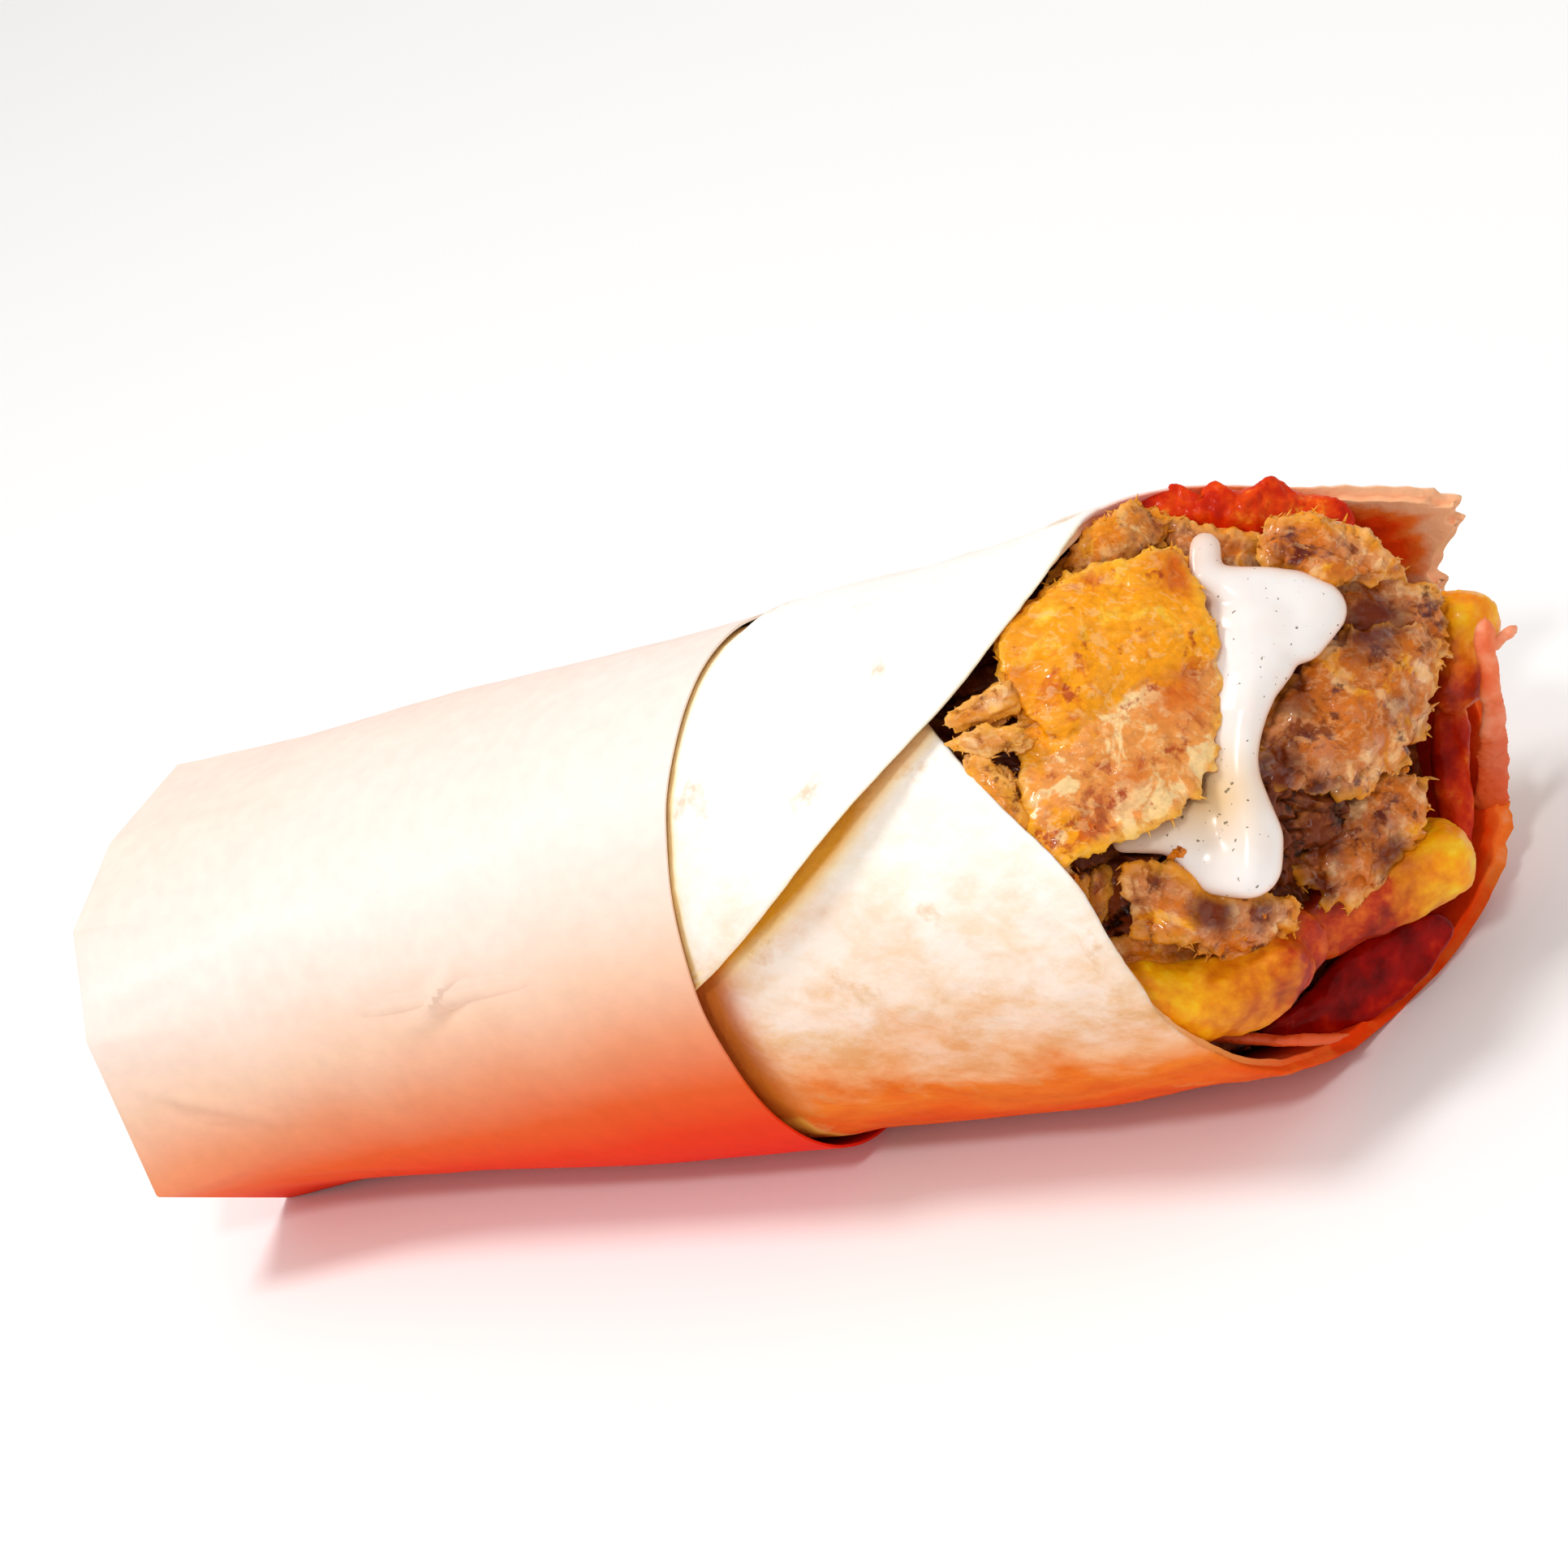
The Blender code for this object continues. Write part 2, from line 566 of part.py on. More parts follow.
def main():
    for old in list(bpy.data.objects):
        bpy.data.objects.remove(old)
    seared = material("seared_meat", SEARED, 0.55)
    roast = material("roast_meat", ROAST, 0.5)
    sleeve = make_sleeve()
    bread = make_flatbread()
    pieces = make_slices(seared, roast)
    pieces += make_fries(material("fried_potato", FRIED, 0.45))
    pieces += make_tomatoes(material("tomato_flesh", TOMATO, 0.3))
    pieces.append(make_sauce(material("garlic_sauce", SAUCE, 0.25)))
    pieces.append(make_core())
    bpy.context.view_layer.update()
    placed = [bread]
    for piece in pieces:
        make_room(piece, placed)
        placed.append(piece)
        bpy.context.view_layer.update()

    corners = [piece.matrix_world @ Vector(c) for piece in [sleeve, *placed] for c in piece.bound_box]
    low = Vector(min(c[i] for c in corners) for i in range(3))
    high = Vector(max(c[i] for c in corners) for i in range(3))
    base = Vector(((low.x + high.x) / 2, (low.y + high.y) / 2, low.z))
    for piece in [sleeve, *placed]:
        piece.location = -base


main()
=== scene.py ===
"""The looks of a gyro wrap: a rolled flatbread with carved meat, fries, tomato and garlic sauce, in a
kraft paper sleeve. Pieces are worked out in millimetres in the wrap's own frame: x runs along the roll
from its closed end, and an angle goes round it, in degrees, from the top towards the front."""

import json
import math

import bpy
import numpy as np
from mathutils import Matrix, Vector, noise

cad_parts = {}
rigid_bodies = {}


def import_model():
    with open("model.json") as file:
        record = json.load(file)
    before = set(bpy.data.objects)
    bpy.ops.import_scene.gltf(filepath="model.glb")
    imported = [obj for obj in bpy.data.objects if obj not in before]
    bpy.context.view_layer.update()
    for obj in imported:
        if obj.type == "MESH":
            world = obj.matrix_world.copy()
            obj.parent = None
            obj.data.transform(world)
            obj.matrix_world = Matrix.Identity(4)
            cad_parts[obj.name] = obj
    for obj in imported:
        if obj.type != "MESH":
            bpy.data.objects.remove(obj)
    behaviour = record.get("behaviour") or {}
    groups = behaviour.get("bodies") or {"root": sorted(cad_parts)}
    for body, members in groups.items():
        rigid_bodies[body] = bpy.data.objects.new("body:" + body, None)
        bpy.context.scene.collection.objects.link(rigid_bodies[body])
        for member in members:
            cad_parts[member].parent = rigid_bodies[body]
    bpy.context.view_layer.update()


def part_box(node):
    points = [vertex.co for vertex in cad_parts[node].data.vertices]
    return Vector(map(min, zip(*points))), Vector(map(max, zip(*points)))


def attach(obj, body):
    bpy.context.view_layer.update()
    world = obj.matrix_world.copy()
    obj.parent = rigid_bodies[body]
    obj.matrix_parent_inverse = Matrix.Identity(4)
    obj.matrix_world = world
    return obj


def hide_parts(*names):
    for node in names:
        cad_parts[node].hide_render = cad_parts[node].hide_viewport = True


for leftover in list(bpy.data.objects):
    bpy.data.objects.remove(leftover)
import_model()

# ---------------------------------------------------------------------------------- kraft paper sleeve
# A sheet of bleached kraft paper rolled round the lower half of the wrap, lapped at the back and
# folded shut at its closed end like a parcel. Its colour turns a warm orange towards the underside,
# painted shade, and the fold lines on the closed end are darkened, painted shade in the creases.

MM = 0.001
END_RADIUS = 29.5
TAPER = 0.0445
FLAT = 0.6
SLEEVE_LENGTH = 100.7
PAPER = 0.35
FOLD_LENGTH = 34.0
END_CORNERS = (
    (14.5, 56.5), (-4.0, 58.6), (-19.1, 55.6), (-28.6, 43.7), (-34.2, 19.9), (-14.5, 0.0),
    (17.0, 0.0), (29.5, 13.0), (31.0, 33.0), (26.5, 48.0),
)
EAR_CORNER_Y = -34.2  # the corner that stands out furthest, so it is the sleeve's lowest y
SLEEVE_SWELLS = ((100, 140, 95, 50, 1.7), (44, 330, 46, 62, 1.2))
LAP_ANGLE = 252.0
LAP_STEP = 0.3

sleeve_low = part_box("paper_sleeve")[0]
WRAP_ORIGIN = Vector((sleeve_low.x, sleeve_low.y - EAR_CORNER_Y * MM, 0.0))


def smoothstep(low, high, value):
    t = min(1.0, max(0.0, (value - low) / (high - low)))
    return t * t * (3 - 2 * t)


def bump(value, centre, reach):
    """1 at the centre, falling smoothly to 0 at the reach on either side."""
    return smoothstep(1.0, 0.0, abs(value - centre) / reach)


def roll_radius(x):
    return END_RADIUS + TAPER * x


def roll_point(x, angle, radius, floor=0.0):
    a = math.radians(angle)
    height = roll_radius(x) - FLAT + radius * math.cos(a)
    return Vector((x, -radius * math.sin(a), max(floor, height)))


def linear(code):
    """A colour from its sRGB hex code, as linear RGBA."""
    values = [int(code[i:i + 2], 16) / 255 for i in (1, 3, 5)]
    return (*[v / 12.92 if v <= 0.04045 else ((v + 0.055) / 1.055) ** 2.4 for v in values], 1.0)


def add_node(tree, kind, inputs=None, **settings):
    """Adds a node with its settings. Each input is a value, or the socket or node that feeds it."""
    node = tree.nodes.new(kind)
    for key, value in settings.items():
        setattr(node, key, value)
    for key, value in (inputs or {}).items():
        if isinstance(value, bpy.types.Node):
            value = value.outputs[0]
        if isinstance(value, bpy.types.NodeSocket):
            tree.links.new(value, node.inputs[key])
        else:
            node.inputs[key].default_value = value
    return node


def ramp(tree, source, stops):
    """A colour ramp from (place, hex colour or grey) stops."""
    node = add_node(tree, "ShaderNodeValToRGB", {0: source})
    while len(node.color_ramp.elements) < len(stops):
        node.color_ramp.elements.new(1.0)
    for element, (place, colour) in zip(node.color_ramp.elements, stops):
        element.position = place
        element.color = linear(colour) if isinstance(colour, str) else (colour, colour, colour, 1.0)
    return node


def pattern(tree, size_mm, detail=3.0, rough=0.5, stretch=(1, 1, 1), turn=(0, 0, 0), distort=0.0):
    """Noise whose lumps are about size_mm across, on the piece's own place, stretched along its axes."""
    place = add_node(tree, "ShaderNodeTexCoord")
    grid = tuple(1 / (MM * size_mm * s) for s in stretch)
    mapping = add_node(tree, "ShaderNodeMapping", {"Vector": place.outputs["Object"], "Scale": grid,
                                                   "Rotation": turn})
    return add_node(tree, "ShaderNodeTexNoise", {"Vector": mapping, "Scale": 1.0, "Detail": detail,
                                                 "Roughness": rough, "Distortion": distort})


def blend_colour(tree, share, first, second, how="MIX"):
    mix = add_node(tree, "ShaderNodeMix", data_type="RGBA", blend_type=how)
    for index, value in ((0, share), (6, first), (7, second)):
        if isinstance(value, str):
            value = linear(value)
        if isinstance(value, bpy.types.Node):
            value = value.outputs[0]
        if isinstance(value, bpy.types.NodeSocket):
            tree.links.new(value, mix.inputs[index])
        else:
            mix.inputs[index].default_value = value
    return mix.outputs[2]


def new_material(name):
    made = bpy.data.materials.new(name)
    made.use_nodes = True
    return made, made.node_tree, made.node_tree.nodes["Principled BSDF"]


def height_share(tree, low, high, wobble=None, wobble_mm=0.0, lean=0.0):
    """How high a point is above the floor, from 0 at low to 1 at high, in millimetres. With a lean, the
    levels climb along the roll, and they always drop a little towards its back."""
    place = add_node(tree, "ShaderNodeTexCoord")
    axes = add_node(tree, "ShaderNodeSeparateXYZ", {0: place.outputs["Object"]})
    z = add_node(tree, "ShaderNodeMath", {0: axes.outputs[0], 1: -lean, 2: axes.outputs[2]},
                 operation="MULTIPLY_ADD").outputs[0]
    behind = add_node(tree, "ShaderNodeMath", {0: axes.outputs[1], 1: 0.0}, operation="MAXIMUM")
    z = add_node(tree, "ShaderNodeMath", {0: behind, 1: 0.3, 2: z}, operation="MULTIPLY_ADD").outputs[0]
    if wobble is not None:
        shift = add_node(tree, "ShaderNodeMath", {0: wobble, 1: -0.5}, operation="ADD")
        z = add_node(tree, "ShaderNodeMath", {0: shift, 1: wobble_mm * MM, 2: z}, operation="MULTIPLY_ADD")
    return add_node(tree, "ShaderNodeMapRange", {0: z, 1: low * MM, 2: high * MM})


def kraft_paper():
    """Uncoated paper: matt, with short pulp fibres, soft pink-cream above and orange below as painted
    shade, and fold lines darkened as painted shade in the creases.
    """
    made, tree, shader = new_material("bleached_kraft_paper")
    cloud = pattern(tree, 16, detail=2)
    # Painted shade: pink-cream high up, turning deep orange towards the floor.
    base_with_painted_shade = ramp(tree, height_share(tree, 3.9, 73.9, cloud, 4, 0.15), (
        (0.08, "#ee2200"), (0.22, "#ee3800"), (0.34, "#ee6024"), (0.47, "#f09a70"), (0.6, "#f5c8aa"),
        (0.72, "#fae0d0"), (0.84, "#feefe6"), (1.0, "#fbe0d0")))
    fibres = pattern(tree, 0.5, detail=4, stretch=(3, 1, 1))
    mottle = ramp(tree, pattern(tree, 2.5, detail=5), ((0.3, 0.93), (0.7, 1.0)))
    colour = blend_colour(tree, 1.0, base_with_painted_shade, mottle, "MULTIPLY")
    # Painted shade: the fold lines of the closed end are darkened towards a brown tan.
    painted_fold_shade = add_node(tree, "ShaderNodeAttribute", attribute_name="painted_fold_shade")
    painted_fold_shade = add_node(tree, "ShaderNodeMath", {0: painted_fold_shade.outputs["Fac"], 1: 0.5}, operation="MULTIPLY")
    colour = blend_colour(tree, painted_fold_shade, colour, "#c98f6c")
    tree.links.new(colour, shader.inputs["Base Color"])
    relief = add_node(tree, "ShaderNodeBump", {"Height": fibres, "Strength": 0.25, "Distance": 0.12 * MM})
    tree.links.new(relief.outputs[0], shader.inputs["Normal"])
    shader.inputs["Roughness"].default_value = 0.75
    shader.inputs["IOR"].default_value = 1.5
    shader.inputs["Specular IOR Level"].default_value = 0.15
    return made


def polygon_radius(angle):
    """Where a ray from the roll's axis meets the folded outline of the closed end."""
    a = math.radians(angle)
    ray_y, ray_z = -math.sin(a), math.cos(a)
    axis_z = roll_radius(0.0) - FLAT
    best = END_RADIUS
    for (y0, z0), (y1, z1) in zip(END_CORNERS, END_CORNERS[1:] + END_CORNERS[:1]):
        z0, z1 = z0 - axis_z, z1 - axis_z
        turn = ray_y * (z1 - z0) - ray_z * (y1 - y0)
        if abs(turn) < 1e-9:
            continue
        reach = (y0 * (z1 - z0) - z0 * (y1 - y0)) / turn
        share = (y0 * ray_z - z0 * ray_y) / turn
        if reach > 0 and -1e-9 <= share <= 1 + 1e-9:
            best = reach
    return best


def sleeve_swell(x, angle):
    swell = 0.0
    for at_x, at_angle, reach_x, reach_angle, height in SLEEVE_SWELLS:
        off = (angle - at_angle + 180) % 360 - 180
        swell += height * bump(x, at_x, reach_x) * bump(off, 0, reach_angle)
    return swell


def sleeve_radius(x, angle):
    held = roll_radius(x) + sleeve_swell(x, angle)
    fold = 1 - smoothstep(0, FOLD_LENGTH, x)
    return held + (polygon_radius(angle) - held) * fold


def wrinkle(x, arc, at_x, at_arc, lean, length, width, height):
    """A short pinched ridge with a dent beside it."""
    c, s = math.cos(math.radians(lean)), math.sin(math.radians(lean))
    along = ((x - at_x) * c + (arc - at_arc) * s) / length
    across = (-(x - at_x) * s + (arc - at_arc) * c) / width
    if abs(along) > 2.5 or abs(across) > 4:
        return 0.0
    fade = math.exp(-along * along)
    return height * fade * (math.exp(-across * across) - 0.8 * math.exp(-(across - 1.5) ** 2))


ARC = math.radians(1) * 32.0  # millimetres round the sleeve for each degree
WRINKLES = (  # x, angle, lean, length, width, height
    (60.5, 66, -40, 3.8, 1.3, 1.1), (55, 72, -25, 4.0, 1.8, 0.3), (14, 84, 24, 10, 1.5, 0.5),
    (9, 52, -14, 12, 1.6, 0.35), (27, 118, 12, 13, 2.2, 0.4), (63, 250, 40, 9, 1.5, 0.6),
    (30, 300, -25, 10, 1.8, 0.5), (78, 205, 15, 12, 1.8, 0.4), (24, 215, 35, 9, 1.6, 0.6),
)


def paper_relief(x, angle):
    arc = angle * ARC
    a = math.radians(angle)
    place = Vector((x * 0.035, math.cos(a) * 1.1, math.sin(a) * 1.1))
    relief = 0.5 * noise.noise(place) + 0.12 * noise.noise(place * 4.1)
    for at_x, at_angle, lean, length, width, height in WRINKLES:
        relief += wrinkle(x, arc, at_x, at_angle * ARC, lean, length, width, height)
    lap = smoothstep(LAP_ANGLE - 0.6, LAP_ANGLE, angle) * (1 - smoothstep(LAP_ANGLE, LAP_ANGLE + 90, angle))
    return relief * smoothstep(0, 12, x) + LAP_STEP * lap


def new_piece(name, points, faces, shift=WRAP_ORIGIN):
    """An object at the origin whose points are given in the wrap's frame, in millimetres."""
    mesh = bpy.data.meshes.new(name)
    mesh.from_pydata([tuple(Vector(p) * MM + shift) for p in points], [], faces)
    mesh.validate()
    piece = bpy.data.objects.new(name, mesh)
    bpy.context.scene.collection.objects.link(piece)
    return piece


def floats(piece, name, values):
    """Stores a named number on every vertex."""
    layer = piece.data.attributes.new(name, "FLOAT", "POINT")
    layer.data.foreach_set("value", np.asarray(values, np.float32))


def ring_faces(rings, around, start=0, flip=False):
    """Quads between consecutive closed rings of points."""
    faces = []
    for r in range(rings - 1):
        for i in range(around):
            j = (i + 1) % around
            a, b = start + r * around, start + (r + 1) * around
            face = (a + i, a + j, b + j, b + i)
            faces.append(face[::-1] if flip else face)
    return faces


def dress(piece, slot, *nodes):
    """The calls that every finished piece gets: it rides on the one body and stands for its CAD nodes."""
    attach(piece, "root")
    if nodes:
        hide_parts(*nodes)
    return piece


FLAPS = (  # the folded end's flaps, in the order they were folded: edges as (y, z, direction in degrees)
    (0.35, ((2.0, 28.0, 6.0),)),
    (0.6, ((-6.0, 28.0, 187.0),)),
    (0.85, ((-22.0, 56.0, -40.0), (20.0, 54.0, -136.0))),
    (1.1, ((-32.0, 10.0, 44.0), (30.0, 4.0, 133.0))),
)


def flap_height(y, z):
    """How far the folded layers stand out at a place on the closed end, and how close it is to a fold."""
    top, fold = 0.0, 0.0
    for height, edges in FLAPS:
        inside = 1.0
        for edge_y, edge_z, direction in edges:
            a = math.radians(direction)
            if len(edges) == 1:
                reach = (edge_y - y) * math.cos(a) + (z - edge_z) * math.sin(a)
            else:
                reach = (y - edge_y) * math.sin(a) - (z - edge_z) * math.cos(a)
                reach = reach if height > 1 else -reach
                reach *= 1 if edge_y < 0 else -1
            inside = min(inside, smoothstep(-0.35, 0.35, reach))
        if inside > 0:
            top = max(top, height * inside)
            fold = 4 * inside * (1 - inside)
    return top, fold


def make_sleeve():
    axis_z = roll_radius(0.0) - FLAT
    creases = [math.degrees(math.atan2(-y, z - axis_z)) % 360 for y, z in END_CORNERS]
    even = [i * 1.6 for i in range(225)]
    angles = sorted([a for a in even if all(abs(a - c) > 0.5 for c in creases)] + creases)
    around = len(angles)
    caps = [0.02 + 0.96 * i / 59 for i in range(60)]
    stations = [0.0, 0.25, 0.6, 1.0] + [2.0 + 98.0 * i / 88 for i in range(89)]
    points, painted_fold_shade = [], []
    for share in caps:  # the folded end, whose flaps lie on each other like a parcel's
        for a in angles:
            p = roll_point(0.0, a, polygon_radius(a) * share)
            layers, fold = flap_height(p.y, p.z)
            level = 1.4 + 0.15 * noise.noise(Vector((0, p.y, p.z)) * 0.09) - layers
            points.append((level * smoothstep(1.0, 0.92, share), p.y, p.z))
            # How close each point is to a fold, for the painted shade in the creases.
            painted_fold_shade.append(fold * smoothstep(1.0, 0.96, share))
    for x in stations:
        for a in angles:
            edge = 0.35 * smoothstep(0.6, 0.0, x)
            rim = 0.35 * noise.noise(Vector((a * 0.05, 3.3, 0))) * smoothstep(90, 100, x)
            at_x = x * SLEEVE_LENGTH / 100 + rim
            points.append(roll_point(at_x, a, sleeve_radius(x, a) + paper_relief(x, a) - edge))
    rows = len(caps) + len(stations)
    for x in [100.0, 99.0, 96.0, 90.0, 80.0, 60.0, 40.0, 20.0, 10.0, 1.8]:
        for a in angles:
            rim = 0.35 * noise.noise(Vector((a * 0.05, 3.3, 0))) * smoothstep(90, 100, x)
            p = roll_point(x * SLEEVE_LENGTH / 100 + rim, a,
                           sleeve_radius(x, a) + paper_relief(x, a) - PAPER, PAPER)
            points.append(p)
    rows += 10
    faces = ring_faces(rows, around)
    outer_hub, inner_hub = len(points), len(points) + 1
    points += [(1.4 - flap_height(0, axis_z)[0], 0, axis_z), (1.9, 0, axis_z)]
    last = (rows - 1) * around
    for i in range(around):
        j = (i + 1) % around
        faces.append((outer_hub, j, i))
        faces.append((inner_hub, last + i, last + j))
    piece = new_piece("kraft_sleeve", points, faces)
    floats(piece, "painted_fold_shade", painted_fold_shade + [0.0] * (len(points) - len(painted_fold_shade)))
    piece.data.materials.append(kraft_paper())
    piece.data.shade_smooth()
    piece.data.set_sharp_from_angle(angle=math.radians(32))
    return dress(piece, "kraft_paper", "paper_sleeve")


make_sleeve()

# ---------------------------------------------------------------------------------- flatbread
# A soft wheat flatbread, baked on a hot plate, rolled once round the filling. Its outer end crosses
# the front as a slanting flap. Low blisters carry pale brown freckles. Shade is painted on it: orange
# towards the underside, golden where the flap's edge and the sleeve's rim shade it, and on its inner
# face and torn far edge a red that is partly a juice stain and deepens into the roll as painted shade.

BREAD = 2.0
SHEET_GAP = 1.1
LAP_DROP = 2.6
FAR_WALL_ANGLE = 240.0
FIRST_TURN, LAST_TURN = -230.0, 215.0
BREAD_START = 8.0
END_TUCK = 3.0
RIM = (
    (-230, 132), (-214, 138), (-174, 157), (-130, 162.5), (-90, 166.5), (-66, 169.5), (-42, 177),
    (-26, 182), (-6, 181.5), (14, 180.5), (27, 179), (44, 185.5), (60, 172), (90, 154.5), (120, 152),
    (146, 142), (164, 129), (180, 115), (198, 96), (215, 72),
)
BREAD_SWELLS = (
    (160, 85, 26, 42, 2.2), (186, 44, 34, 42, 3.6), (170, -95, 36, 55, -2.4), (114, 100, 14, 50, 0.7),
)
FLAP_LIFT = (2.4, 168.0, 30.0, 7.0)  # height, turn, reach in turn, and how fast it lies down


def curve_through(points, value):
    """A smooth curve y(x) through a few (x, y) points."""
    value = min(max(value, points[0][0]), points[-1][0])
    slopes = []
    for i in range(len(points)):
        (x0, y0), (x1, y1) = points[max(i - 1, 0)], points[min(i + 1, len(points) - 1)]
        slopes.append((y1 - y0) / (x1 - x0))
    for i in range(len(points) - 1):
        (x0, y0), (x1, y1) = points[i], points[i + 1]
        if value <= x1:
            break
    span = x1 - x0
    t = (value - x0) / span
    rise = y0 * (1 + 2 * t) * (1 - t) ** 2 + y1 * t * t * (3 - 2 * t)
    return rise + span * (slopes[i] * t * (1 - t) ** 2 + slopes[i + 1] * t * t * (t - 1))


def rim(turn):
    return curve_through(RIM, turn)


def torn_rim(turn):
    """The rim with its soft waviness, and ragged where the far wall's edge has torn."""
    soft = 0.5 * noise.noise(Vector((turn * 0.06, 0, 5))) + 0.22 * noise.noise(Vector((turn * 0.35, 0, 5)))
    torn = bump(turn, 44, 36) * (2.6 * noise.noise(Vector((turn * 0.17, 2, 0)))
                                 + 1.8 * noise.noise(Vector((turn * 0.45, 2, 0))))
    nicked = bump(turn, -18, 26) * (0.9 * noise.noise(Vector((turn * 0.3, 7, 0)))
                                    + 0.5 * noise.noise(Vector((turn * 0.9, 7, 0))))
    return rim(turn) + soft + torn + nicked


def stand_off(x, turn):
    """How far the relaxed sheet stands off its round, past the sleeve."""
    free = smoothstep(SLEEVE_LENGTH - 0.3, SLEEVE_LENGTH + 5, x)
    off = SHEET_GAP
    for at_x, at_turn, reach_x, reach_turn, height in BREAD_SWELLS:
        off += height * bump(x, at_x, reach_x) * bump(turn, at_turn, reach_turn)
    height, at_turn, reach, curl = FLAP_LIFT
    lift = height * bump(turn, at_turn, reach) * math.exp(-max(0.0, rim(turn) - x) / curl)
    wave = 0.5 * noise.noise(Vector((x * 0.05, turn * 0.03, 9)))
    held = (1 - free) * sleeve_swell(x, turn + FAR_WALL_ANGLE) * smoothstep(60, 100, x)
    return held + free * (off + lift + wave) - SHEET_GAP


def bread_floor(x):
    return SHEET_GAP * (1 - smoothstep(SLEEVE_LENGTH + 1, SLEEVE_LENGTH + 10, x))


def new_tree(name, **sizes):
    """A Geometry Nodes tree with a geometry input, one named input for each size, and its input node."""
    tree = bpy.data.node_groups.new(name, "GeometryNodeTree")
    tree.interface.new_socket("Geometry", in_out="INPUT", socket_type="NodeSocketGeometry")
    for label, default in sizes.items():
        kind = "NodeSocketFloat"
        if isinstance(default, tuple):
            kind = "NodeSocketVector"
        elif isinstance(default, int):
            kind = "NodeSocketInt"
        elif isinstance(default, bpy.types.Material):
            kind = "NodeSocketMaterial"
        socket = tree.interface.new_socket(label, in_out="INPUT", socket_type=kind)
        socket.default_value = default
    tree.interface.new_socket("Geometry", in_out="OUTPUT", socket_type="NodeSocketGeometry")
    return tree, tree.nodes.new("NodeGroupInput")


def end_tree(tree, geometry, material):
    """Every tree ends the same way: real mesh, smooth shading and the piece's own material."""
    real = add_node(tree, "GeometryNodeRealizeInstances", {0: geometry})
    smooth = add_node(tree, "GeometryNodeSetShadeSmooth", {0: real})
    painted = add_node(tree, "GeometryNodeSetMaterial", {"Geometry": smooth, "Material": material})
    add_node(tree, "NodeGroupOutput", {0: painted})


def grow(piece, tree, **values):
    """Runs a tree on a piece and keeps the plain mesh that it makes."""
    modifier = piece.modifiers.new(tree.name, "NODES")
    modifier.node_group = tree
    for item in tree.interface.items_tree:
        if item.in_out == "INPUT" and item.name in values:
            modifier[item.identifier] = values[item.name]
    graph = bpy.context.evaluated_depsgraph_get()
    grown = bpy.data.meshes.new_from_object(piece.evaluated_get(graph))
    piece.modifiers.clear()
    old = piece.data
    piece.data = grown
    bpy.data.meshes.remove(old)
    grown.name = piece.name
    return piece


def math_node(tree, operation, *values):
    return add_node(tree, "ShaderNodeMath", dict(enumerate(values)), operation=operation).outputs[0]


def vector_node(tree, operation, first, second):
    """Vector maths; the second value is a scale for SCALE."""
    inputs = {0: first, ("Scale" if operation == "SCALE" else 1): second}
    node = add_node(tree, "ShaderNodeVectorMath", inputs, operation=operation)
    return node.outputs["Value" if operation == "DOT_PRODUCT" else "Vector"]


def named(tree, name):
    return add_node(tree, "GeometryNodeInputNamedAttribute", {"Name": name}, data_type="FLOAT").outputs[0]


def keep(tree, geometry, name, value):
    return add_node(tree, "GeometryNodeStoreNamedAttribute",
                    {"Geometry": geometry, "Name": name, "Value": value}, data_type="FLOAT")


def tree_noise(tree, place, size, detail=2.0, rough=0.5, outputs=0):
    node = add_node(tree, "ShaderNodeTexNoise", {"Vector": place, "Scale": 1 / size, "Detail": detail,
                                                 "Roughness": rough})
    return node.outputs[outputs]


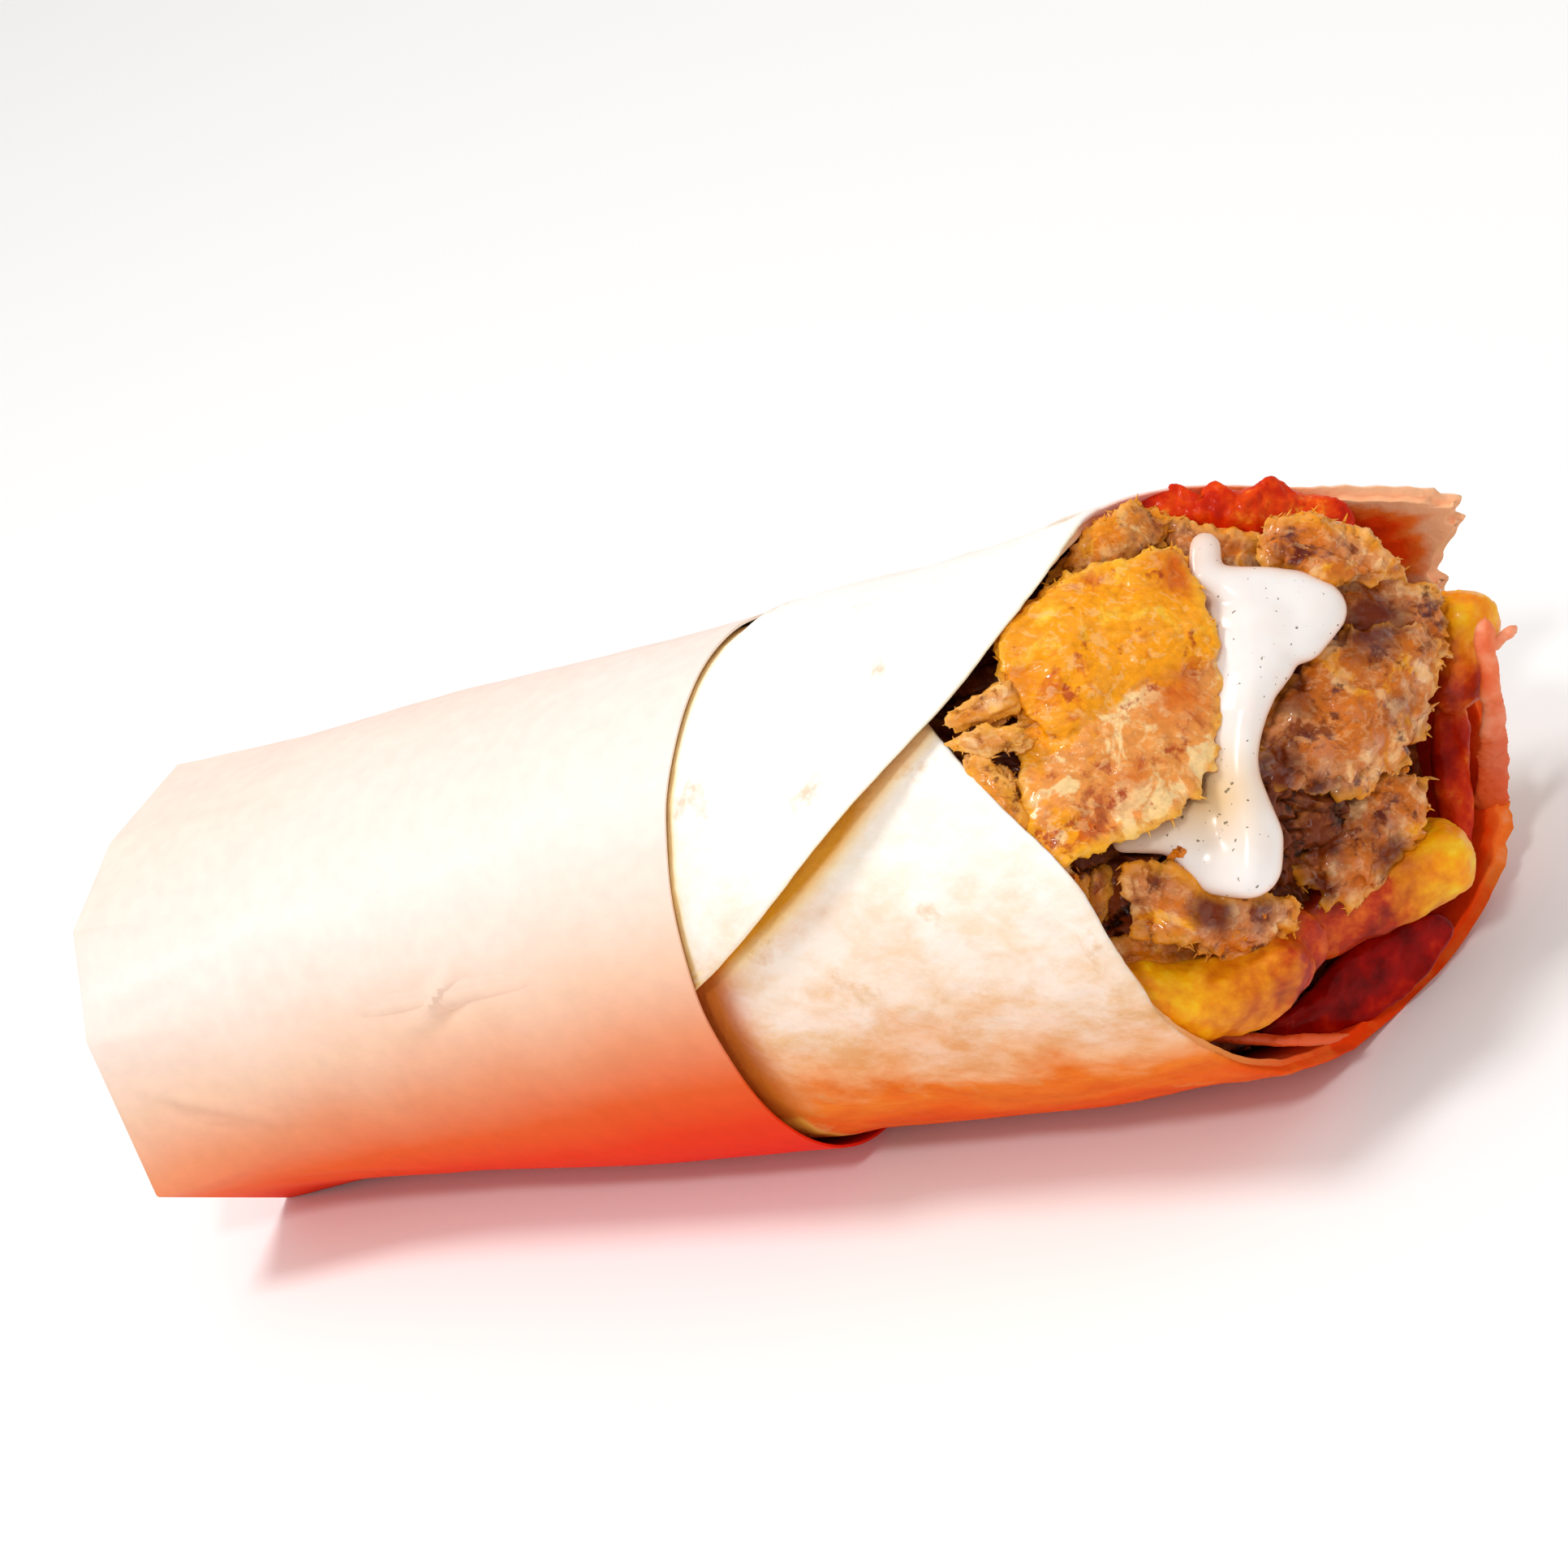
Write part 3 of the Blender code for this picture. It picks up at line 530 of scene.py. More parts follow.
def rolling_tree():
    """Rolls a flat sheet. Each vertex brings its place along the roll, its turn round it, how far it
    stands off, and how close it is to the sheet's edge. The sheet's blisters grow as it rolls."""
    tree, given = new_tree("roll_flatbread", Radius=END_RADIUS, Taper=TAPER, Flat=FLAT, Thickness=BREAD,
                           Lap=LAP_DROP, FarWall=FAR_WALL_ANGLE, Blister=0.3)
    along, turn = named(tree, "along"), named(tree, "turn")
    flat_place = add_node(tree, "ShaderNodeCombineXYZ", {0: along, 1: math_node(tree, "MULTIPLY", turn, 0.6)})
    blister = tree_noise(tree, flat_place, 9.0, detail=2.0)
    blister = add_node(tree, "ShaderNodeMapRange", {0: blister, 1: 0.5, 2: 0.72},
                       interpolation_type="SMOOTHSTEP").outputs[0]
    grain = tree_noise(tree, flat_place, 2.2, detail=4.0)
    swell = math_node(tree, "MULTIPLY_ADD", blister, given.outputs["Blister"],
                      math_node(tree, "MULTIPLY", grain, 0.22))
    under = add_node(tree, "ShaderNodeMapRange", {0: turn, 1: -170.0, 2: -60.0, 3: 1.0, 4: 0.0},
                     interpolation_type="SMOOTHSTEP").outputs[0]
    round_radius = math_node(tree, "MULTIPLY_ADD", along, given.outputs["Taper"], given.outputs["Radius"])
    radius = math_node(tree, "ADD", round_radius, named(tree, "stand_off"))
    radius = math_node(tree, "SUBTRACT", radius, math_node(tree, "MULTIPLY", under, given.outputs["Lap"]))
    radius = math_node(tree, "ADD", radius, swell)
    radius = math_node(tree, "SUBTRACT", radius, math_node(tree, "MULTIPLY", named(tree, "nip"), 0.5))
    angle = math_node(tree, "RADIANS", math_node(tree, "ADD", turn, given.outputs["FarWall"]))
    up = math_node(tree, "MULTIPLY_ADD", radius, math_node(tree, "COSINE", angle), round_radius)
    up = math_node(tree, "SUBTRACT", up, given.outputs["Flat"])
    up = math_node(tree, "MAXIMUM", up, named(tree, "floor"))
    front = math_node(tree, "MULTIPLY", math_node(tree, "MULTIPLY", radius, -1.0),
                      math_node(tree, "SINE", angle))
    rolled = add_node(tree, "ShaderNodeCombineXYZ", {0: along, 1: front, 2: up})
    placed = vector_node(tree, "ADD", vector_node(tree, "SCALE", rolled.outputs[0], MM),
                         tuple(WRAP_ORIGIN))
    outer = add_node(tree, "GeometryNodeSetPosition", {"Geometry": given.outputs["Geometry"],
                                                       "Position": placed})
    outer = keep(tree, outer, "blister", blister)
    depth = math_node(tree, "MULTIPLY", named(tree, "thinness"), given.outputs["Thickness"])
    pushed = add_node(tree, "GeometryNodeExtrudeMesh", {
        "Mesh": outer, "Offset Scale": math_node(tree, "MULTIPLY", depth, -MM), "Individual": False},
        mode="FACES")
    lined = add_node(tree, "GeometryNodeStoreNamedAttribute", {
        "Geometry": pushed.outputs["Mesh"], "Selection": pushed.outputs["Top"], "Name": "lining",
        "Value": 1.0}, data_type="FLOAT", domain="FACE")
    turned = add_node(tree, "GeometryNodeFlipFaces", {0: lined})
    whole = add_node(tree, "GeometryNodeJoinGeometry", {0: outer})
    tree.links.new(turned.outputs[0], whole.inputs[0])
    sealed = add_node(tree, "GeometryNodeMergeByDistance", {"Geometry": whole, "Distance": 0.01 * MM})
    end_tree(tree, sealed, wheat_bread())
    return tree


def wheat_bread():
    """Soft baked dough: floury cream with a few toasted freckles, orange below as painted shade, with
    painted golden shadows, and inside a juice stain that painted shade deepens to red.
    """
    made, tree, shader = new_material("wheat_flatbread")
    cloud = pattern(tree, 11, detail=6, rough=0.6, stretch=(1.6, 1, 1), distort=0.5)
    # Painted shade: cream high up, turning orange towards the floor.
    base_with_painted_shade = ramp(tree, height_share(tree, 0, 76, cloud, 26), (
        (0.06, "#e83a00"), (0.16, "#ee5a04"), (0.26, "#f28022"), (0.36, "#f8bc8c"), (0.47, "#fae0cc"),
        (0.6, "#fbeadc"), (0.74, "#fefaf2"), (1.0, "#fffcf5")))
    dough = pattern(tree, 4.6, detail=8, rough=0.66, stretch=(1.7, 1, 1), turn=(0.0, 0.3, 0.4), distort=0.15)
    dough = ramp(tree, dough, ((0.4, 0.0), (0.5, 0.3), (0.64, 0.8)))
    shade = add_node(tree, "ShaderNodeMath", {0: dough, 1: height_share(tree, 66, 30)}, operation="MULTIPLY")
    base_with_painted_shade = blend_colour(tree, shade, base_with_painted_shade, "#eecb92", "MULTIPLY")
    behind = add_node(tree, "ShaderNodeTexCoord")
    behind = add_node(tree, "ShaderNodeSeparateXYZ", {0: behind.outputs["Object"]})
    behind = add_node(tree, "ShaderNodeMapRange", {0: behind.outputs[1], 1: 8 * MM, 2: 26 * MM, 3: 0.0,
                                                   4: 0.5})
    base_with_painted_shade = blend_colour(tree, behind, base_with_painted_shade, "#fbcfb2")
    toast = add_node(tree, "ShaderNodeAttribute", attribute_name="blister")
    grain = pattern(tree, 1.6, detail=5, rough=0.65)
    freckles = add_node(tree, "ShaderNodeMath", {0: toast.outputs["Fac"], 1: grain}, operation="MULTIPLY")
    brown = ramp(tree, freckles, ((0.36, 0.0), (0.62, 0.55)))
    colour = blend_colour(tree, brown, base_with_painted_shade, "#d9a566")
    # Orange streaks low down, which add to the painted shade there.
    streaks = ramp(tree, pattern(tree, 5, detail=4, stretch=(2.5, 1, 1), distort=0.6),
                   ((0.35, 0.0), (0.75, 0.35)))
    low = height_share(tree, 38, 8)
    streaks = add_node(tree, "ShaderNodeMath", {0: streaks, 1: low}, operation="MULTIPLY")
    colour = blend_colour(tree, streaks, colour, "#cf6a24")
    # Partly a juice stain, partly painted shade: the inner face turns from pale orange at the rim to deep red
    # further into the roll.
    stain = pattern(tree, 7, detail=5, rough=0.6)
    depth = add_node(tree, "ShaderNodeAttribute", attribute_name="depth")
    depth = add_node(tree, "ShaderNodeMath", {0: stain, 1: 0.5, 2: depth.outputs["Fac"]},
                     operation="MULTIPLY_ADD")
    stain_and_depth_shade = ramp(tree, depth, ((0.14, "#ffbe90"), (0.28, "#fb7c2c"), (0.42, "#f64400"), (0.7, "#cc2201"),
                                 (1.0, "#860a01")))
    lining = add_node(tree, "ShaderNodeAttribute", attribute_name="lining")
    stain_and_shade_mix = add_node(tree, "ShaderNodeAttribute", attribute_name="stain_and_shade")
    stain_and_shade_mix = add_node(tree, "ShaderNodeMath", {0: lining.outputs["Fac"], 1: stain_and_shade_mix.outputs["Fac"]},
                      operation="MULTIPLY")
    edged = add_node(tree, "ShaderNodeAttribute", attribute_name="stain_and_shade_edge")
    stain_and_shade_mix = add_node(tree, "ShaderNodeMath", {0: stain_and_shade_mix, 1: edged.outputs["Fac"]}, operation="MAXIMUM")
    inner = add_node(tree, "ShaderNodeMath", {0: lining.outputs["Fac"], 1: 0.6}, operation="MULTIPLY")
    colour = blend_colour(tree, inner, colour, "#f4bc6a")
    colour = blend_colour(tree, stain_and_shade_mix, colour, stain_and_depth_shade)
    # Painted shadow: golden where the flap's edge and the sleeve's rim shade the bread, and on the flap's lip.
    painted_golden_shadow = add_node(tree, "ShaderNodeAttribute", attribute_name="painted_golden_shadow")
    gilt = ramp(tree, painted_golden_shadow.outputs["Fac"], ((0.2, "#ffe078"), (0.7, "#ecaa06")))
    painted_golden_shadow = ramp(tree, painted_golden_shadow.outputs["Fac"], ((0.0, 0.0), (0.7, 0.95)))
    colour = blend_colour(tree, painted_golden_shadow, colour, gilt.outputs[0])
    # Painted shade: orange on the lower bread just past the sleeve's rim.
    painted_rim_shade = add_node(tree, "ShaderNodeAttribute", attribute_name="painted_rim_shade")
    colour = blend_colour(tree, painted_rim_shade.outputs["Fac"], colour, "#d8701c")
    tree.links.new(colour, shader.inputs["Base Color"])
    soft = pattern(tree, 3.2, detail=3)
    soft = add_node(tree, "ShaderNodeBump", {"Height": soft, "Strength": 0.5, "Distance": 0.9 * MM})
    fine = pattern(tree, 0.7, detail=5, rough=0.6)
    relief = add_node(tree, "ShaderNodeBump", {"Height": fine, "Strength": 0.35, "Distance": 0.2 * MM,
                                               "Normal": soft})
    tree.links.new(relief.outputs[0], shader.inputs["Normal"])
    shader.inputs["Roughness"].default_value = 0.72
    shader.inputs["IOR"].default_value = 1.45
    shader.inputs["Specular IOR Level"].default_value = 0.1
    shader.inputs["Subsurface Weight"].default_value = 0.15
    shader.inputs["Subsurface Radius"].default_value = (1.0, 0.6, 0.35)
    shader.inputs["Subsurface Scale"].default_value = 1.2 * MM
    return made


def make_flatbread():
    turns, t = [], FIRST_TURN
    while t < LAST_TURN:
        turns.append(t)
        t += 1.8 - 1.3 * bump(t, 20, 70)  # finer where the edge is torn
    turns.append(LAST_TURN)
    columns = len(turns) - 1
    from_rim = [0.0, 0.15, 0.35, 0.65, 1.0, 1.5, 2.2]
    free_rows = 38
    levels = [6, 4.5, 3.3, 2.4, 1.6, 0.9, 0.2, -0.5, -2, -5] + [-12 - 10 * i for i in range(9)]
    fixed = [SLEEVE_LENGTH + level for level in levels]
    points, along, turned, off, nip, thinness, floor = [], [], [], [], [], [], []
    stain_and_shade, painted_golden_shadow, painted_rim_shade, depth, stain_and_shade_edge = [], [], [], [], []
    for t in turns:
        top = torn_rim(t)
        column = [top - d for d in from_rim]
        high, low = column[-1], min(column[-1] - 1, fixed[0] + 1.3)
        column += [high + (low - high) * (i + 1) / free_rows for i in range(free_rows)]
        for level in fixed:
            column.append(min(level, column[-1] - 0.1))
        for x in column:
            tuck = END_TUCK * (1 - smoothstep(BREAD_START, FOLD_LENGTH, x))
            edge = min(top - x, (LAST_TURN - t) * 0.6, (t - FIRST_TURN) * 0.6)
            points.append((x, t * 0.6, 0))
            along.append(x)
            turned.append(t)
            off.append(stand_off(x, t) - tuck)
            nip.append(1 - math.sqrt(max(0.0, 1 - max(0.0, 1 - edge / 1.1) ** 2)))
            flap = smoothstep(95, 125, t)
            feather = smoothstep(4.0, 0.0, edge)
            thinness.append(1 - (1 - flap) * 0.5 * nip[-1] - flap * 0.78 * feather)
            floor.append(bread_floor(x))
            # Where the inner face gets the stain and its painted shade, which deepens away from the rim.
            far = smoothstep(-125, -80, t) * (1 - smoothstep(70, 110, t))
            stain_and_shade.append(0.15 + 0.85 * far)
            stain_and_shade_edge.append(nip[-1] * far)
            pale = 0.4 * bump(t, 42, 44) + 0.1 * bump(t, -12, 36)
            depth.append(min(1.0, 0.15 + (top - x) / 20) - pale)
            # The painted golden shadow: under the flap's edge, along the sleeve's rim, and on the flap's lip.
            beyond = x - rim(min(t + 360, LAST_TURN))
            close = smoothstep(136, 122, x) * (t < -120)
            shaded = smoothstep(-7, -4, beyond) * (1 - smoothstep(-2.0, 2.4 + 3.6 * close, beyond))
            held = 0.55 - 0.55 * smoothstep(0.0, 1.2, x - SLEEVE_LENGTH)
            painted_golden_shadow.append(max(shaded * (0.5 + 0.3 * close) * (t < -120), held, 0.3 * nip[-1] * (t > 100)))
            # Painted shade on the lower bread, fading within 7.5 mm past the sleeve's rim.
            painted_rim_shade.append(0.9 * (1 - smoothstep(0.0, 7.5, x - SLEEVE_LENGTH)) * (t < -120))
    rows = len(from_rim) + free_rows + len(fixed)
    faces = []
    for c in range(columns):
        for r in range(rows - 1):
            a, b = c * rows + r, (c + 1) * rows + r
            faces.append((a, a + 1, b + 1, b))
    piece = new_piece("rolled_flatbread", points, faces, Vector((0, 0, 0)))
    for name, values in (("along", along), ("turn", turned), ("stand_off", off), ("nip", nip),
                         ("thinness", thinness), ("floor", floor), ("stain_and_shade", stain_and_shade), ("painted_golden_shadow", painted_golden_shadow),
                         ("painted_rim_shade", painted_rim_shade), ("depth", depth), ("stain_and_shade_edge", stain_and_shade_edge)):
        floats(piece, name, values)
    grow(piece, rolling_tree())
    return dress(piece, "wheat_flatbread", "flatbread")


make_flatbread()

# ---------------------------------------------------------------------------------- packed filling
# Behind the pieces that show, the roll is packed with carved meat. Its heaped top is a jumble of torn
# shreds, moist, and coloured a much darker brown than the slices, painted shade.

MOUTH_CENTRE = Vector((150.0, 0.0, 36.0))
MOUTH_TURN, MOUTH_TILT, MOUTH_ROLL = math.radians(38), math.radians(30), math.radians(-30)
MOUTH_FACING = Vector((math.sin(MOUTH_TURN) * math.cos(MOUTH_TILT),
                       -math.cos(MOUTH_TURN) * math.cos(MOUTH_TILT), math.sin(MOUTH_TILT)))
LEVEL = Vector((math.cos(MOUTH_TURN), math.sin(MOUTH_TURN), 0.0))
MOUTH_ACROSS = LEVEL * math.cos(MOUTH_ROLL) + MOUTH_FACING.cross(LEVEL) * math.sin(MOUTH_ROLL)
MOUTH_UP = MOUTH_FACING.cross(MOUTH_ACROSS)
CORE_RECESS = 9.0
CROWN_HEIGHT, CROWN_FALL = 20.0, 0.0105


def mouth_point(across, up, out):
    return MOUTH_CENTRE + across * MOUTH_ACROSS + up * MOUTH_UP + out * MOUTH_FACING


def crown_height(across, up):
    dome = CROWN_HEIGHT - CROWN_FALL * ((across + 6) ** 2 + (up + 2) ** 2)
    return dome - 0.02 * max(0.0, across) * max(0.0, -up)


def inner_turn(angle):
    return (angle - FAR_WALL_ANGLE - FIRST_TURN) % 360 + FIRST_TURN


def core_radius(x, angle):
    near = []
    for shift in (-14, -7, 0, 7, 14):
        turn = inner_turn(angle + shift)
        under = 1 - smoothstep(-170, -60, turn)
        near.append(roll_radius(x) + min(0.0, stand_off(x, turn)) - under * LAP_DROP)
    tuck = END_TUCK * (1 - smoothstep(BREAD_START, FOLD_LENGTH, x))
    return min(near) - tuck - BREAD - 1.0


def meat_material(name, deep, main, light, char, inner, wet=0.3, patch_mm=6.0):
    """Roast meat: fibrous, darkened in its creases as painted shade and in patches that are partly soaked
    juice and partly painted shade, paler inside than on its seared outside, golden where its edges are
    torn thin, with charred spots and a film of fat that glints. Inner is the deep, main and light colour of the
    cut inside."""
    made, tree, shader = new_material(name)
    patch = pattern(tree, patch_mm, detail=6, rough=0.62, distort=0.7)
    outside = ramp(tree, patch, ((0.36, deep), (0.45, main), (0.56, main), (0.66, light)))
    cut = ramp(tree, patch, ((0.38, inner[0]), (0.45, inner[1]), (0.51, inner[1]), (0.56, inner[2])))
    share = add_node(tree, "ShaderNodeAttribute", attribute_name="inside")
    wander = add_node(tree, "ShaderNodeMath", {0: pattern(tree, 4.0, detail=5), 1: 1.6, 2: -0.8},
                      operation="MULTIPLY_ADD")
    share = add_node(tree, "ShaderNodeMath", {0: share.outputs["Fac"], 1: wander}, operation="ADD")
    share = ramp(tree, share, ((0.4, 0.0), (0.6, 1.0)))
    colour = blend_colour(tree, share, outside.outputs[0], cut.outputs[0])
    streak = ramp(tree, pattern(tree, 0.8, detail=5, rough=0.7, stretch=(3.4, 1, 1.4), turn=(0.2, 0.5, 0.5)),
                  ((0.32, 0.7), (0.56, 1.0)))
    colour = blend_colour(tree, 0.7, colour, streak, "MULTIPLY")
    flecks = ramp(tree, pattern(tree, 1.5, detail=7, rough=0.7, stretch=(1.8, 1, 1), distort=0.5),
                  ((0.54, 0.0), (0.58, 0.3)))
    colour = blend_colour(tree, flecks, colour, inner[2])
    # Partly juice, partly painted shade: listed dark patches in the gaps and holes between pieces.
    juice_and_shade = add_node(tree, "ShaderNodeAttribute", attribute_name="juice_and_shade")
    wander = add_node(tree, "ShaderNodeMath", {0: pattern(tree, 3.0, detail=4), 1: 0.9, 2: -0.45},
                      operation="MULTIPLY_ADD")
    juice_and_shade = add_node(tree, "ShaderNodeMath", {0: juice_and_shade.outputs["Fac"], 1: wander}, operation="ADD")
    juice_and_shade = ramp(tree, juice_and_shade, ((0.25, 0.0), (0.85, 0.92)))
    colour = blend_colour(tree, juice_and_shade, colour, deep)
    edge = add_node(tree, "ShaderNodeAttribute", attribute_name="torn")
    gilt = add_node(tree, "ShaderNodeMath", {0: edge.outputs["Fac"], 1: 0.6}, operation="MULTIPLY")
    colour = blend_colour(tree, gilt, colour, light)
    # Painted shade: the hollows of the relief are darkened.
    relief = add_node(tree, "ShaderNodeAttribute", attribute_name="relief")
    hollow = ramp(tree, relief.outputs["Fac"], ((0.16, 0.8), (0.4, 0.0)))
    colour = blend_colour(tree, hollow, colour, deep)
    spots = ramp(tree, pattern(tree, 3.4, detail=6, rough=0.62), ((0.6, 0.0), (0.68, 0.85)))
    colour = blend_colour(tree, spots, colour, char)
    tree.links.new(colour, shader.inputs["Base Color"])
    fine = pattern(tree, 0.4, detail=4, rough=0.6, stretch=(2.4, 1, 1))
    bumps = add_node(tree, "ShaderNodeBump", {"Height": fine, "Strength": 0.45, "Distance": 0.16 * MM})
    tree.links.new(bumps.outputs[0], shader.inputs["Normal"])
    gloss = ramp(tree, pattern(tree, 1.8, detail=3), ((0.38, 0.16), (0.6, 0.5)))
    tree.links.new(gloss.outputs[0], shader.inputs["Roughness"])
    shader.inputs["IOR"].default_value = 1.45
    shader.inputs["Specular IOR Level"].default_value = 0.2
    film = ramp(tree, pattern(tree, 2.6, detail=3), ((0.5, 0.05 * wet), (0.62, wet)))
    tree.links.new(film.outputs[0], shader.inputs["Coat Weight"])
    shader.inputs["Coat Roughness"].default_value = 0.08
    shader.inputs["Subsurface Weight"].default_value = 0.1
    shader.inputs["Subsurface Radius"].default_value = (1.0, 0.4, 0.2)
    shader.inputs["Subsurface Scale"].default_value = 1.0 * MM
    return made


def relief_tree(name, material, melted=True):
    """Grows the torn, fibrous face of cooked meat on smooth solids, which it first melts together: lumps,
    fibres along one direction, creases between the bundles of fibres, and a fine crumb. What stands high
    or low is kept for the material to colour; the meat materials darken the hollows with it, painted
    shade. A single solid with fine rows needs no melting."""
    tree, given = new_tree(name, Grid=0.3, Lumps=0.8, Fibres=0.3, Creases=0.7, Crumb=0.15, Tear=0.5,
                           FibreWidth=0.9, BundleWidth=5.0, Along=(1.0, 0.0, 0.0),
                           Across=(0.0, 1.0, 0.0), Out=(0.0, 0.0, 1.0), Seed=0.0)
    even = given.outputs["Geometry"]
    if melted:
        grid = math_node(tree, "MULTIPLY", given.outputs["Grid"], MM)
        filled = add_node(tree, "GeometryNodeMeshToVolume", {
            "Mesh": even, "Density": 1.0, "Voxel Size": grid, "Interior Band Width": 2.0 * MM},
            resolution_mode="VOXEL_SIZE")
        even = add_node(tree, "GeometryNodeVolumeToMesh", {"Volume": filled, "Threshold": 0.08})
    place = vector_node(tree, "SCALE", add_node(tree, "GeometryNodeInputPosition").outputs[0], 1 / MM)
    place = vector_node(tree, "ADD", place, add_node(tree, "ShaderNodeCombineXYZ", {
        0: given.outputs["Seed"], 1: given.outputs["Seed"], 2: 0.0}).outputs[0])
    warp = tree_noise(tree, place, 4.5, detail=1.0, outputs=1)
    warped = vector_node(tree, "ADD", place, vector_node(tree, "SCALE", warp, 2.2))
    reaches = [vector_node(tree, "DOT_PRODUCT", warped, given.outputs[axis])
               for axis in ("Along", "Across", "Out")]
    places = []
    for size in ("FibreWidth", "BundleWidth"):
        parts = [math_node(tree, "DIVIDE", reach, math_node(tree, "MULTIPLY", given.outputs[size], stretch))
                 for reach, stretch in zip(reaches, (4.0, 1.0, 1.0))]
        places.append(add_node(tree, "ShaderNodeCombineXYZ", dict(enumerate(parts))).outputs[0])
    fibres = tree_noise(tree, places[0], 1.0, detail=2.0)
    bundles = tree_noise(tree, places[1], 1.0, detail=2.0)
    crease = math_node(tree, "ABSOLUTE", math_node(tree, "SUBTRACT", bundles, 0.5))
    crease = add_node(tree, "ShaderNodeMapRange", {0: crease, 1: 0.0, 2: 0.045, 3: 1.0, 4: 0.0},
                      interpolation_type="SMOOTHSTEP").outputs[0]
    lumps = tree_noise(tree, place, 5.4, detail=2.0)
    crumb = tree_noise(tree, place, 0.6, detail=3.0, rough=0.6)
    height = math_node(tree, "MULTIPLY", math_node(tree, "SUBTRACT", lumps, 0.5), given.outputs["Lumps"])
    height = math_node(tree, "MULTIPLY_ADD", math_node(tree, "SUBTRACT", fibres, 0.5),
                       given.outputs["Fibres"], height)
    height = math_node(tree, "MULTIPLY_ADD", math_node(tree, "SUBTRACT", crumb, 0.5),
                       given.outputs["Crumb"], height)
    height = math_node(tree, "MULTIPLY", height, 2.0)
    height = math_node(tree, "SUBTRACT", height, math_node(tree, "MULTIPLY", crease, given.outputs["Creases"]))
    push = vector_node(tree, "SCALE", add_node(tree, "GeometryNodeInputNormal").outputs[0], height)
    tear = tree_noise(tree, place, 2.6, detail=3.0, outputs=1)
    tear = vector_node(tree, "SUBTRACT", tear, (0.5, 0.5, 0.5))
    tear = vector_node(tree, "SCALE", tear, math_node(tree, "MULTIPLY", given.outputs["Tear"], 2.0))
    offset = vector_node(tree, "SCALE", vector_node(tree, "ADD", push, tear), MM)
    moved = add_node(tree, "GeometryNodeSetPosition", {"Geometry": even, "Offset": offset})
    shown = math_node(tree, "MULTIPLY_ADD", fibres, 0.7, math_node(tree, "MULTIPLY", crumb, 0.3))
    shown = math_node(tree, "SUBTRACT", shown, math_node(tree, "MULTIPLY", crease, 0.1))
    end_tree(tree, keep(tree, moved, "relief", shown), material)
    return tree


def make_core():
    around, wall_rows, crown_rows = 360, 24, 100
    angles = [360 * i / around for i in range(around)]
    tops = [min(rim(inner_turn(a + shift)) for shift in (-14, 0, 14)) - CORE_RECESS for a in angles]
    points = []
    for row in range(wall_rows):
        share = row / (wall_rows - 1)
        for a, top in zip(angles, tops):
            x = BREAD_START + (top - BREAD_START) * share
            points.append(roll_point(x, a, core_radius(x, a), bread_floor(x) + BREAD + 1.0))
    edge = [(q.dot(MOUTH_ACROSS), q.dot(MOUTH_UP), q.dot(MOUTH_FACING))
            for q in (p - MOUTH_CENTRE for p in points[-around:])]
    for row in range(1, crown_rows):
        share = 1 - row / crown_rows
        for across, up, out in edge:
            u, v = 6 + (across - 6) * share, 4 + (up - 4) * share
            w = crown_height(u, v) + 2.4 * noise.noise(Vector((u, v, 0)) * 0.16)
            points.append(mouth_point(u, v, w + (out - w) * share ** 6))
    rows = wall_rows + crown_rows - 1
    faces = ring_faces(rows, around)
    hub, end = len(points), len(points) + 1
    points += [mouth_point(6, 4, crown_height(6, 4)), (BREAD_START, 0, roll_radius(BREAD_START) - FLAT)]
    last = (rows - 1) * around
    for i in range(around):
        j = (i + 1) % around
        faces += [(last + i, last + j, hub), (end, j, i)]
    piece = new_piece("packed_filling", points, faces)
    # Painted shade: the same meat as the slices, coloured far darker.
    dark = meat_material("packed_roast_meat_painted_shade", "#2a0a02", "#7a3410", "#a86028", "#1c0701",
                         ("#3a1404", "#7e3c14", "#a8622c"), 0.25, 5.0)
    grow(piece, relief_tree("packed_relief", dark, melted=False), Lumps=1.5, Fibres=0.7, Creases=1.8,
         Tear=0.6, FibreWidth=1.3, BundleWidth=4.0, Along=tuple(MOUTH_ACROSS), Across=tuple(MOUTH_UP),
         Out=tuple(MOUTH_FACING))
    return dress(piece, "packed_meat", "meat_core")


make_core()

# ---------------------------------------------------------------------------------- carved meat
# Thin slices and shavings cut from a turning spit of stacked meat. The outside of the stack is seared
# golden and crisp, the inside is brown and fibrous, and every edge is torn.


def closed_curve(points, count):
    """A closed smooth curve of count points through a ring of points, evenly shared between them."""
    total = len(points)
    ring = []
    for k in range(count):
        place = k * total / count
        i, t = int(place), place % 1.0
        p0, p1, p2, p3 = (Vector(points[(i + j - 1) % total]) for j in range(4))
        ring.append(0.5 * (2 * p1 + (p2 - p0) * t + (2 * p0 - 5 * p1 + 4 * p2 - p3) * t * t
                           + (3 * p1 - p0 - 3 * p2 + p3) * t ** 3))
    return ring


